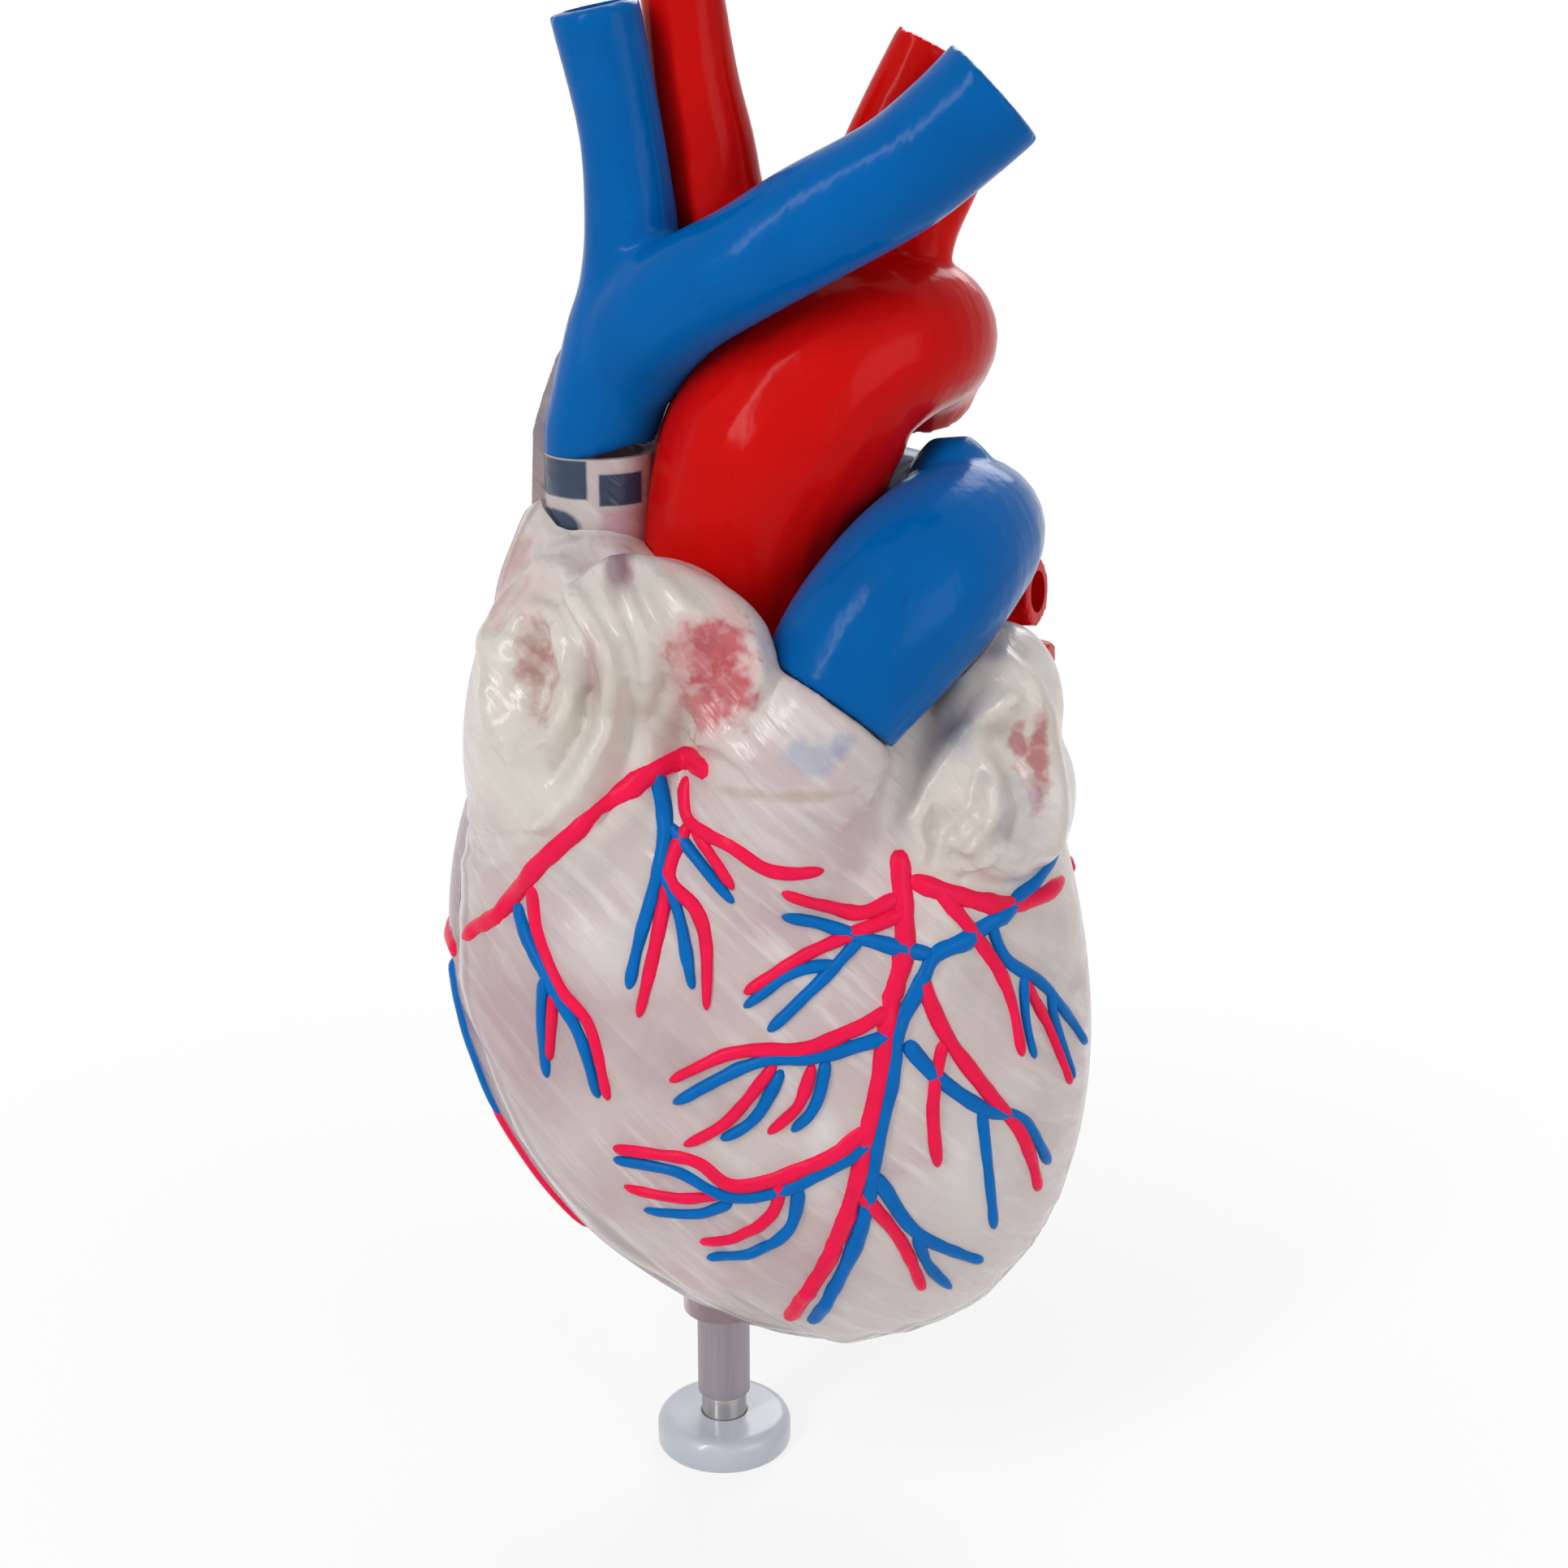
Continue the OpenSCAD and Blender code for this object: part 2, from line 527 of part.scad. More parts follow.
// The lines lie in the surface, so that each keeps a raised half; sunk covers the body's flat facets
relief_sunk = 0.35;
relief_extra = 0.6;
function share_of(z) = egg_share((egg_mid - z) / egg_half);
function front_point(x, z) =
    let (c = (egg_mid - z) / egg_half, across = (x - egg_x(c)) / (share_of(z) * body_half_w))
    [x, egg_y(c) - share_of(z) * (body_front - relief_sunk) * sqrt(max(0, 1 - across * across)), z];
function round_point(angle, z) =
    let (c = (egg_mid - z) / egg_half, depth = sin(angle) < 0 ? body_front : body_back)
    [egg_x(c) + share_of(z) * (body_half_w - relief_sunk) * cos(angle),
        egg_y(c) + share_of(z) * (depth - relief_sunk) * sin(angle), z];
module lines(list, front) {
    for (line = list) {
        last = len(line[1]) - 1;
        points = [for (q = line[1]) front ? front_point(q[0], q[1]) : round_point(q[0], q[1])];
        outward = points[0] - [egg_x(0), 0, points[0][2]];
        bar([
            for (i = [0 : last]) let (r = line[0][0] + (line[0][1] - line[0][0]) * i / last)
            concat(points[i], r + relief_extra)
        ], 0, n = line[0][0] < 1.3 ? 3 : 4, first = outward);
    }
}
module front_coronary_arteries() {
    color(coronary_red) fused() difference() {
        intersection() {
            lines(front_arteries, true);
            half_space(-1);
        }
        heart_form(0);
    }
}
module front_cardiac_veins() {
    color(blue) fused() difference() {
        intersection() {
            lines(front_veins, true);
            half_space(-1);
        }
        heart_form(0);
        lines(front_arteries, true);
    }
}
module back_coronary_arteries() {
    color(coronary_red) fused() difference() {
        intersection() {
            lines(back_arteries, false);
            half_space(1);
        }
        heart_form(0);
        bar(lower_cava_route, glue_gap);
    }
}
module back_cardiac_veins() {
    color(blue) fused() difference() {
        intersection() {
            lines(back_veins, false);
            half_space(1);
        }
        heart_form(0);
        lines(back_arteries, false);
        bar(lower_cava_route, glue_gap);
    }
}

// ---- Inside ----
tricuspid_at = [-21, -1];
mitral_at = [31, 10];
aortic_at = [aorta_route[0][0], aorta_route[0][1]];
aortic_r = aorta_route[0][3] - vessel_wall - glue_gap;
septum_r = 47;
septum_side_x = -10;
septum_axis = [septum_side_x + septum_r, 8];
septum_side_lean = 8;
floor_bottom = floor_z - floor_t;
// The floor stops short of the side that the front shell slides past
floor_side_x = 46.5;
// The floor's many-sided holes clear the round rings by this much at their corners
floor_gap = 0.2;
inside_gap = wall + vessel_gap;
module septum() {
    color([0.93, 0.75, 0.72]) fused() intersection() {
        heart_form(-inside_gap);
        translate([-far / 2, -far / 2, 0]) cube([far, far, floor_bottom - glue_gap]);
        translate([septum_axis[0], septum_axis[1], floor_z]) rotate([0, septum_side_lean, 0])
            difference() {
                cylinder(r = septum_r, h = far, center = true, $fn = 42);
                cylinder(r = septum_r - septum_t, h = far + 2, center = true, $fn = 42);
            }
    }
}
module valve_floor() {
    color([0.95, 0.85, 0.8]) fused() difference() {
        intersection() {
            heart_form(-inside_gap);
            translate([floor_side_x - far, -far / 2, floor_bottom]) cube([far, far, floor_t]);
        }
        translate([tricuspid_at[0], tricuspid_at[1], 0])
            cylinder(r = tricuspid_r + floor_gap, h = far, $fn = 24);
        translate([mitral_at[0], mitral_at[1], 0])
            cylinder(r = mitral_r + floor_gap, h = far, $fn = 24);
        translate([aortic_at[0], aortic_at[1], 0]) cylinder(r = aortic_r - 1, h = far, $fn = 24);
    }
}
mouth_share = 0.45;
// A valve between atrium and ventricle: a ring, and a cone of leaflets that slots divide
module inflow_valve(r, leaves, turn) {
    mouth = r * mouth_share;
    difference() {
        rotate_extrude($fn = round_sides) polygon([
            [r - 2, floor_z], [r, floor_z], [r, floor_bottom], [r - 1, floor_bottom],
            [mouth + leaf_t, floor_bottom - leaf_len], [mouth, floor_bottom - leaf_len],
            [r - 2.4, floor_bottom]
        ]);
        for (i = [0 : leaves - 1]) {
            rotate([0, 0, turn + 360 * i / leaves])
                translate([0, -0.5, floor_bottom - leaf_len - 1]) cube([r + 1, 1, leaf_len - 1]);
        }
    }
}
module tricuspid_valve() {
    color("lightyellow") translate([tricuspid_at[0], tricuspid_at[1], 0]) inflow_valve(tricuspid_r, 3, 20);
}
module mitral_valve() {
    color("lightyellow") translate([mitral_at[0], mitral_at[1], 0]) inflow_valve(mitral_r, 2, 60);
}
// A valve at an artery's root: three pockets in a ring
module outflow_valve(r) {
    difference() {
        cylinder(r = r, h = 6, $fn = round_sides);
        for (i = [0 : 2]) {
            rotate([0, 0, 120 * i + 30]) translate([r * 0.46, 0, 1]) cylinder(r = r * 0.4, h = 6, $fn = 32);
        }
        translate([0, 0, -1]) cylinder(r = r * 0.1, h = 8, $fn = 24);
    }
}
module aortic_valve() {
    color("lightyellow") translate([aortic_at[0], aortic_at[1], floor_z + 0.4]) outflow_valve(aortic_r - 0.6);
}
trunk_tilt = acos(trunk_dir[2]);
trunk_heading = atan2(trunk_dir[1], trunk_dir[0]);
module pulmonary_valve() {
    color("lightyellow") translate(xyz(trunk_route[0])) rotate([0, trunk_tilt, trunk_heading])
        translate([0, 0, 0.2]) outflow_valve(trunk_route[0][3] - vessel_wall - glue_gap - 0.5);
}
// Papillary muscles: tip and the direction down to the wall
papillary_tip_r = 2.4;
papillary_tips = [[-27, -6, 92], [-20, 11, 91], [40, 0, 90], [28, 22, 88]];
papillary_feet = [[-31, 18, 62], [-21, 30, 64], [46, 26, 60], [28, 36, 60]];
module papillary_muscles() {
    color([0.85, 0.45, 0.42]) fused() intersection() {
        heart_form(-inside_gap);
        union() for (i = [0 : 3]) {
            bar([concat(papillary_tips[i], papillary_tip_r), concat((papillary_tips[i] + papillary_feet[i]) / 2, 4.7),
                concat(papillary_feet[i], 5.6)], 0, 2, 12);
        }
    }
}
// Strings from each papillary tip to the edge of its valve, side by side on the tip
module string(a, b) {
    d = b - a;
    translate(a) rotate([0, acos(d[2] / norm(d)), atan2(d[1], d[0])])
        cylinder(r = string_r, h = norm(d), $fn = 16);
}
function on_circle(at, r, a, z) = [at[0] + r * cos(a), at[1] + r * sin(a), z];
module strings(tip, at, r, angles) {
    for (a = angles) {
        string(
            on_circle(tip, papillary_tip_r - string_r, mean(angles) + 3 * (a - mean(angles)), tip[2] - 0.8),
            on_circle(at, r * mouth_share + leaf_t / 2, a, floor_bottom - leaf_len + 0.6)
        );
    }
}
function mean(list) = (min(list) + max(list)) / 2;
module chordae_tendineae() {
    color("ivory") {
        strings(papillary_tips[0], tricuspid_at, tricuspid_r, [170, 200, 230, 260]);
        strings(papillary_tips[1], tricuspid_at, tricuspid_r, [40, 70, 100, 130]);
        strings(papillary_tips[2], mitral_at, mitral_r, [270, 295, 320, 345]);
        strings(papillary_tips[3], mitral_at, mitral_r, [60, 85, 110, 135]);
    }
}

foot_pad();
foot_disc();
foot_screw();
stand_pin();
stem_tube();
stem_socket();
back_shell();
locating_tabs();
front_shell();
aorta();
brachiocephalic_artery();
left_carotid_artery();
left_subclavian_artery();
superior_vena_cava();
left_brachiocephalic_vein();
inferior_vena_cava();
pulmonary_trunk();
right_pulmonary_artery();
left_pulmonary_veins();
right_pulmonary_veins();
septum();
valve_floor();
tricuspid_valve();
mitral_valve();
aortic_valve();
pulmonary_valve();
papillary_muscles();
chordae_tendineae();
front_coronary_arteries();
front_cardiac_veins();
back_coronary_arteries();
back_cardiac_veins();
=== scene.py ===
"""A life-size heart model on a rod: the pieces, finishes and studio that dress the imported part."""

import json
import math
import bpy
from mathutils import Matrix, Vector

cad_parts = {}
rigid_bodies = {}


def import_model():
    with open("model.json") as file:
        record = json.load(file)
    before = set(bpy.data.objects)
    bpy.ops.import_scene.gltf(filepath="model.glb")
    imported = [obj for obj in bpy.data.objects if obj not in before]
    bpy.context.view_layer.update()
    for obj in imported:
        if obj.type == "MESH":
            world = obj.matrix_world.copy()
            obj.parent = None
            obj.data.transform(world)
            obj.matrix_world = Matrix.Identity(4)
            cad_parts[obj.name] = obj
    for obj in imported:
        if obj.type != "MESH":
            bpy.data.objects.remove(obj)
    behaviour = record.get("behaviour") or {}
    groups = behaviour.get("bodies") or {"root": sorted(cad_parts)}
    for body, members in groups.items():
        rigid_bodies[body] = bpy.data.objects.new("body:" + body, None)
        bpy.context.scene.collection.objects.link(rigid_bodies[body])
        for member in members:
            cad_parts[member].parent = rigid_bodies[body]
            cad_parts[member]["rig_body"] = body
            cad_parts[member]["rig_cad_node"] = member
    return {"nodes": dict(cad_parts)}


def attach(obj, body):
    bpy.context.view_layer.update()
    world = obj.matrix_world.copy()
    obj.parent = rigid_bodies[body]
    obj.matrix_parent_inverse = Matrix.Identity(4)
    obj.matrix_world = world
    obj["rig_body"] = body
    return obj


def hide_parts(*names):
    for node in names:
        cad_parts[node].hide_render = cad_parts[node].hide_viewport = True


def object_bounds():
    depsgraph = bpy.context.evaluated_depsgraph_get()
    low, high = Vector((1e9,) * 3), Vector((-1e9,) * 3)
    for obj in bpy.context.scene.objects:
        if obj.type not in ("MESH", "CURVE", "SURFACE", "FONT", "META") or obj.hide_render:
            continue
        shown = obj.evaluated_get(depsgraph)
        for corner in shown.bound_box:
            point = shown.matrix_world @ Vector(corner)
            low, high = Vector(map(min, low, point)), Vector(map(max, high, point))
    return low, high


bl_info = {
    "name": "Heart model pieces",
    "version": (1, 0, 0),
    "blender": (4, 5, 0),
    "location": "View3D > Sidebar > Heart",
    "description": "Builds the vessels, shells, inside parts, stand and studio of a heart model",
    "category": "Object",
}

import bpy
import numpy as np
from bpy.props import FloatProperty, FloatVectorProperty, IntProperty, PointerProperty
from mathutils import Vector, noise
from mathutils.bvhtree import BVHTree

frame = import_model()
CAD_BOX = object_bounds()

MM = 0.001

# Routes of the vessels in millimetres: x, y, z and outer radius, as in the part's source
AORTA = [
    (9, 0, 119.4, 9.2), (9, 0, 125, 10.3), (5.8, 0, 137, 12.8), (4.2, 0.5, 151, 15.3), (6.2, 0.3, 164, 16.8),
    (10.6, 0.5, 174.5, 17.7), (19, 1.2, 184, 15.2), (26, 3.5, 187.5, 12.9), (30.5, 9, 188, 12),
    (32, 15.5, 186.5, 11.4), (31.4, 21, 183.2, 11), (30.4, 25.6, 178.2, 10.6),
]
BRACHIOCEPHALIC = [
    (9, 3, 188, 7.8), (3.6, 8, 199, 7.7), (0, 8.4, 208, 7.7), (-1.2, 8.4, 216, 7.3),
    (-3.1, 7.8, 226, 6.7), (-4.7, 7, 239, 6.1),
]
CAROTID = [
    (19.2, 5, 192, 5.4), (19.4, 8, 203, 5.2), (22, 8, 211, 5.2), (26, 8, 220, 5.1), (31.5, 8, 231, 5),
]
SUBCLAVIAN = [(29.5, 8, 194, 5.6), (31, 9, 203, 5.3), (34.5, 10, 211, 5.2), (38.5, 10, 220, 5.1)]
CAVA = [
    (-17.8, 2, 172, 8.4), (-17.8, 2, 174, 8.4), (-15.5, 2, 181.5, 8.9), (-12.8, 1.5, 190, 9.3),
    (-12.1, 1, 198, 7.8), (-12.3, 0.5, 208, 6.8), (-13.6, 0, 220, 6.2), (-16.8, -1, 236, 6.7),
]
LEFT_VEIN = [
    (-13.6, 1.2, 184, 8.8), (-10.4, -1.8, 190, 9.2), (-4.5, -6.8, 195.6, 8.8), (5, -11.2, 201.2, 8.4),
    (14, -12.2, 206.5, 8.7), (26, -12.2, 213, 8.6), (34, -12.2, 219.3, 8.7), (40, -12.2, 224.8, 9),
]
TRUNK = [
    (16.5, -25, 139.5, 11.5), (22.5, -22, 147.5, 13), (30.2, -15.8, 155, 13.5), (36.2, -6, 158.8, 12.6),
    (39, 4, 158.8, 11.7), (41, 13, 156.5, 10.5),
]
RIGHT_PULMONARY = [
    (35.5, 6, 160.5, 8.6), (28, 19.5, 161, 8.2), (12, 27, 163, 8), (-6, 27, 164, 7.6),
    (-17, 26.5, 162, 7.2), (-26, 26, 158.5, 6.6),
]
# The root of the left lung's artery, which closes the gap below the arch
LEFT_PULMONARY = [(36.5, 0, 159, 10), (36, 1, 166, 8), (35.8, 2, 170.5, 6), (35.6, 2.6, 173.6, 3)]
# The web between the upper cava and the left vein
WEB = [(-12.4, -0.8, 187, 8), (-9.4, -3, 193.5, 8), (-5.6, -5.8, 198.6, 7), (-3.4, -6.8, 202, 3.6)]
LOWER_CAVA = [(-14, 22, 112, 9), (-15, 31, 101, 9), (-16, 37, 92, 8.8), (-16.5, 41, 83, 8.6)]
LEFT_STUBS = [
    [(28, 24, 146, 6), (42, 19, 146, 5.6), (51, 15, 146.5, 5.6)],
    [(28, 26, 133, 6), (43, 21, 133, 5.6), (53, 17, 132, 5.6)],
]
RIGHT_STUBS = [
    [(-8, 24, 146, 6), (-22, 23, 146.5, 5.6), (-31, 22, 147, 5.4)],
    [(-8, 26, 134, 6), (-24, 25.5, 134, 5.6), (-34, 24, 134, 5.4)],
]
# The clear body: lobes as centre and half sizes, and the routes of the parts that rise out of it
ATRIA = [((-18, -7, 126.5), (21, 26, 34.5)), ((12, 19, 137), (28, 18, 16.5))]
VEIN_ROOT = [(-20.2, 7, 161, 9.6), (-20.6, 4.2, 156, 11.4), (-20.8, 3, 150, 13.8), (-20, 2, 143, 15.8)]
LEFT_AURICLE = [((41, -12.5, 122), (13.9, 18, 14.5)), ((42.8, -10.5, 135), (9.9, 14, 13))]
AURICLE_ROOT = ((-9.5, -20.5, 147.5), (15.2, 13.7, 12.6))
RIGHT_AURICLE = [
    (-15, -17, 151, 6.5), (-12.5, -22.5, 154, 7.4), (-6.5, -26.5, 152, 8.8), (0.2, -29, 147.5, 9.2),
    (0.8, -30.6, 142.2, 7.8), (-2.5, -30.8, 139.6, 5.4),
]
# The clear neck under the upper cava: where it stands, its top, and its outer radius and bore
NECK_X, NECK_Y, NECK_TOP, NECK_R, NECK_BORE = -17.8, 2, 171.7, 8.4, 6.9
NECK = [(NECK_X, NECK_Y, 150, 9), (NECK_X, NECK_Y, 158, NECK_R), (NECK_X, NECK_Y, NECK_TOP, NECK_R)]
TRUNK_DIR = (Vector(TRUNK[1][:3]) - Vector(TRUNK[0][:3])).normalized()
TRUNK_FOOT = Vector(TRUNK[0][:3])
CONE = [
    (8, -17, 106, 18.1), (9, -22, 117, 16.6), (*(TRUNK_FOOT - 10 * TRUNK_DIR), 13.1),
    (*(TRUNK_FOOT - 6 * TRUNK_DIR), 12.2),
]
COLLAR = [
    (*(TRUNK_FOOT - 15 * TRUNK_DIR), 14), (*(TRUNK_FOOT - 9.8 * TRUNK_DIR), 13.9),
    (*(TRUNK_FOOT - 4 * TRUNK_DIR), 13.1), (*(TRUNK_FOOT - 0.3 * TRUNK_DIR), 12.2),
]
EGG_LOW, EGG_HIGH = 25, 150
EGG_MID, EGG_HALF, EGG_TILT = (EGG_LOW + EGG_HIGH) / 2, (EGG_HIGH - EGG_LOW) / 2, -3
HALF_WIDTH, FRONT_DEPTH, BACK_DEPTH = 51.3, 39.6, 37
# How the middle of the egg, and the middle that the back lines aim at, lie to the right at each depth
EGG_SHIFT, LINE_SHIFT = (8.3, 7, 6.5), (7.9, 8.5, 5)
SOCKET = [(0, 0, 10, 6.9), (0, 0, 43, 6.9)]
VESSEL_GRAIN, VESSEL_GAP, BORE_OVER, SLEEVE_WALL = 0.7, 0.3, 3, 2.2
# Half the gap at the seam between the shells, a point on the seam, its turn and lean, and the way the front pulls
SEAM_GAP = 0.1
SEAM_POINT = Vector((0, -7.4, 100))
TURN, LEAN = math.radians(7.5), math.radians(12)
PULL = Vector((math.sin(TURN) * math.cos(LEAN), -math.cos(TURN) * math.cos(LEAN), math.sin(LEAN)))

# A painted line's radius is LINE_GAIN times its half width and LINE_MORE, give or take LINE_WAVER of it; it stands
# LINE_RISE out of the shell, and END_TAPER thins its ends
LINE_GAIN, LINE_MORE, LINE_WAVER, LINE_RISE, END_TAPER = 1.15, 0.32, 0.3, 0.85, (0.35, 0.75, 0.93)
# Where the sight lines to the front start, and how far off those to the back
VIEWER_Y, OUTSIDE = -200, 150
TWIG, SHOOT, SLIM, BRANCH = (0.72, 0.45), (0.97, 0.45), (0.97, 0.55), (1.1, 0.55)
# Painted lines on the front: half widths at start and end, then points x, z as the viewer sees them
FRONT_ARTERIES = [
    ((1.7, 0.9), [(0, 132.5), (-7.5, 131), (-16, 126), (-25.5, 116.5), (-31, 108), (-37, 101.5), (-42, 96)]),
    (BRANCH, [(-4, 130), (-3.5, 124), (2.5, 122), (8.5, 118.5), (16, 118)]),
    ((0.85, 0.45), [(-3.2, 123.3), (0, 119.5), (3, 115)]),
    (SHOOT, [(-3.5, 123.5), (-6.5, 116), (-2.5, 111.5), (-1, 106), (-1, 97)]),
    ((0.85, 0.45), [(-6.5, 115.5), (-8.5, 105.5), (-11, 95)]),
    (SHOOT, [(-27, 112.5), (-26.5, 105), (-23, 97), (-18.5, 92), (-16, 80.5)]),
    (TWIG, [(-24, 96.5), (-25, 85)]),
    ((1.7, 1.2), [(27, 119), (28, 105.5), (26, 96.5), (24.5, 85.5), (23, 78), (20.5, 65.5), (17, 53.5), (13, 44.5),
        (11, 38)]),
    (SHOOT, [(27.5, 112.5), (21.5, 110.5), (15.5, 112.5), (10, 115)]),
    (SHOOT, [(28, 110), (14.5, 105.5), (4.5, 99.5)]),
    ((1.1, 0.45), [(26, 96), (14.5, 91.5), (3, 90.5), (-6.5, 85.5)]),
    (TWIG, [(9, 89), (2.5, 80), (-4.5, 75)]),
    (TWIG, [(14.5, 89), (12.5, 82.5), (8, 77.5)]),
    ((1.35, 0.55), [(23, 78), (14.5, 72), (3, 68.5), (-3.5, 72.5), (-15.5, 72)]),
    (TWIG, [(1.5, 67), (-5, 65), (-14, 65)]),
    ((0.72, 0.55), [(9.5, 70), (9, 64.5), (4.5, 59.5), (-2.5, 56)]),
    ((1.5, 1.1), [(28.5, 114.5), (38.5, 110), (46.5, 107), (54, 107)]),
    (BRANCH, [(32.5, 113), (38.5, 105), (43.5, 96.5), (46.5, 84.5)]),
    (TWIG, [(46.5, 96), (50.5, 87.5), (55, 76)]),
    ((1.1, 0.65), [(30, 101), (34.5, 90.5), (41.5, 79.5), (47, 71), (50.5, 58.5)]),
    ((0.85, 0.55), [(34, 90), (32.5, 80.5), (33.5, 69.5)]),
    (SLIM, [(21.5, 67), (28, 57), (32, 45.5)]),
]
FRONT_VEINS = [
    ((1.3, 0.9), [(53, 112), (45, 107.5), (37.5, 104.5), (32.5, 103), (30, 98.5), (27, 92.5), (26, 84), (24, 74),
        (22.5, 62.5), (20, 53), (17, 44.5), (14.5, 38)]),
    (SLIM, [(32.5, 103), (21.5, 107), (15.5, 109.5), (10, 111)]),
    (TWIG, [(21.5, 107), (16.5, 102), (8, 94)]),
    (TWIG, [(18, 103.5), (11.5, 102.5), (4.5, 97.5)]),
    (SHOOT, [(27, 92.5), (15.5, 90), (6, 89), (-6, 82)]),
    (TWIG, [(10, 88), (6, 80), (1, 76.5)]),
    (TWIG, [(16.5, 89.5), (15, 82.5), (11.5, 78)]),
    (SLIM, [(24, 76), (15.5, 70.5), (9.5, 67.5), (1.5, 66.5), (-6, 70), (-15.5, 70)]),
    (TWIG, [(2.5, 65.5), (-2.5, 62.5), (-11, 61)]),
    ((0.72, 0.55), [(12.5, 68.5), (11.5, 61.5), (7, 56.5), (-1.5, 53)]),
    ((0.85, 0.45), [(41, 106.5), (43.5, 100), (50.5, 93), (58, 80)]),
    (TWIG, [(46.5, 97), (47, 89), (48.5, 83.5)]),
    (TWIG, [(51, 93), (52, 87), (55.5, 76.5)]),
    (BRANCH, [(28, 91), (32.5, 85), (40, 78), (47, 73.5), (52, 63)]),
    (TWIG, [(40, 78), (41, 70.5), (43, 55)]),
    ((0.85, 0.55), [(24, 70), (30.5, 58), (41.5, 48.5)]),
    (TWIG, [(30.5, 58), (32.5, 51), (36.5, 44.5)]),
    (BRANCH, [(-8.5, 132), (-7, 123.5), (-8, 116), (-10.5, 107.5), (-12.5, 99)]),
    (TWIG, [(-7.5, 117), (-5, 110.5), (-3, 100)]),
    (TWIG, [(-6.5, 123), (-2, 118.5), (3, 113)]),
    (BRANCH, [(-29.6, 108.5), (-28.5, 104.5), (-24, 97), (-20, 90), (-17.5, 80.5)]),
    (TWIG, [(-25.5, 98.5), (-26, 91), (-25.5, 82)]),
]
# Painted lines on the back: the angle round the body, 90 at the very back, and the height z
BACK_ARTERIES = [
    ((1.5, 1.2), [(202, 96), (180, 95), (160, 95), (140, 96), (122, 98), (104, 100)]),
    ((1.35, 0.65), [(104, 100), (97, 88), (93, 75), (88, 60), (83, 46), (78, 37)]),
    ((1.35, 0.85), [(-6, 104), (18, 104), (38, 103), (58, 101)]),
    (SLIM, [(160, 95), (158, 84), (150, 73)]),
    ((0.85, 0.55), [(96, 84), (111, 74), (124, 64)]),
    (SLIM, [(38, 103), (40, 90), (44, 76)]),
    (SLIM, [(194, 70), (197, 63), (200.5, 56), (203, 50)]),
]
BACK_VEINS = [
    ((1.23, 0.85), [(190, 93), (191, 84), (193, 76), (195.5, 68)]),
    ((1.6, 1.6), [(-6, 110), (20, 111), (39, 110), (60, 109), (85, 108), (100, 107)]),
    ((1.35, 0.65), [(98, 107), (106, 92), (101, 76), (96, 60), (90, 46), (85, 38)]),
    ((0.97, 0.85), [(184, 87), (172, 86), (158, 87), (146, 89)]),
    ((0.85, 0.55), [(85, 108), (80, 92), (74, 78)]),
]
# Turned pieces: radius and height in millimetres
PIN_PROFILE = [
    (1.51, 4.65), (3.7, 4.65), (3.85, 4.8), (3.85, 9.45), (3.6, 9.7), (3.0, 9.7), (3.0, 21.3), (2.6, 21.7),
    (0, 21.7), (0, 15.8), (1.51, 15.8), (1.51, 4.65),
]
ROD_PROFILE = [(3.05, 9.7), (4.3, 9.7), (4.45, 9.85), (4.45, 39.8), (4.25, 40), (3.05, 40), (3.05, 9.7)]
DISC_EDGE = (9.1, 3.2, 2.35)
DISC_TOP = [(3.9, 4.6), (3.9, 5.4), (4.1, 5.6), (9.1, 5.55)]
DISC_BELOW = [
    (11.4, 0.5), (11.2, 0.15), (10.9, 0.15), (10.9, 1.2), (3.2, 1.2), (3.2, 2.8), (1.6, 2.8), (1.6, 4.6), (3.9, 4.6),
]
# The photo's camera in metres and degrees, and its focal length and width in the photo's pixels
CAMERA_PLACE, CAMERA_DIP, FOCAL, PHOTO_WIDTH, SENSOR = (0.0103, -0.362, 0.238), 18.2, 2973, 1932, 36
# Lamps: name, place, size in metres and power in watts, each aimed at the middle of the heart
LAMPS = (
    ("key", (-0.5, -0.6, 0.7), (0.12, 0.8), 5), ("fill", (0.7, -0.6, 0.4), (0.5, 0.5), 2),
    ("back", (0.2, 0.7, 0.6), (0.5, 0.5), 3),
)
LAMP_AIM = (0, 0, 0.12)


class HeartSizes(bpy.types.PropertyGroup):
    """Sizes in millimetres and colours that a user may change"""

    wall: FloatProperty(name="Shell wall", description="Wall of the clear shell in mm", default=2.2, min=1.6, max=3)
    vessel_wall: FloatProperty(
        name="Vessel wall", description="Wall of the painted vessels in mm", default=2.2, min=1.6, max=2.6
    )
    voxel: FloatProperty(
        name="Fineness", description="Grain of the fused forms in mm, smaller is finer", default=0.9, min=0.6, max=3
    )
    whorl: FloatProperty(
        name="Whorl depth", description="Depth of the ridges on the auricles in mm", default=1.5, min=0, max=2
    )
    blue: FloatVectorProperty(
        name="Vein blue", description="Paint of the veins", subtype="COLOR", default=(0.0, 0.115, 0.4)
    )
    red: FloatVectorProperty(
        name="Artery red", description="Paint of the arteries", subtype="COLOR", default=(0.6, 0.004, 0.003)
    )
    line_red: FloatVectorProperty(
        name="Coronary red", description="Paint of the small arteries", subtype="COLOR", default=(0.86, 0.01, 0.07)
    )
    line_blue: FloatVectorProperty(
        name="Coronary blue", description="Paint of the small veins", subtype="COLOR", default=(0.0, 0.14, 0.48)
    )
    clear: FloatVectorProperty(
        name="Clear plastic", description="Tint of the clear plastic", subtype="COLOR", default=(0.88, 0.79, 0.76)
    )


def sizes():
    return bpy.context.scene.heart_sizes


# ---- Modelling helpers ----


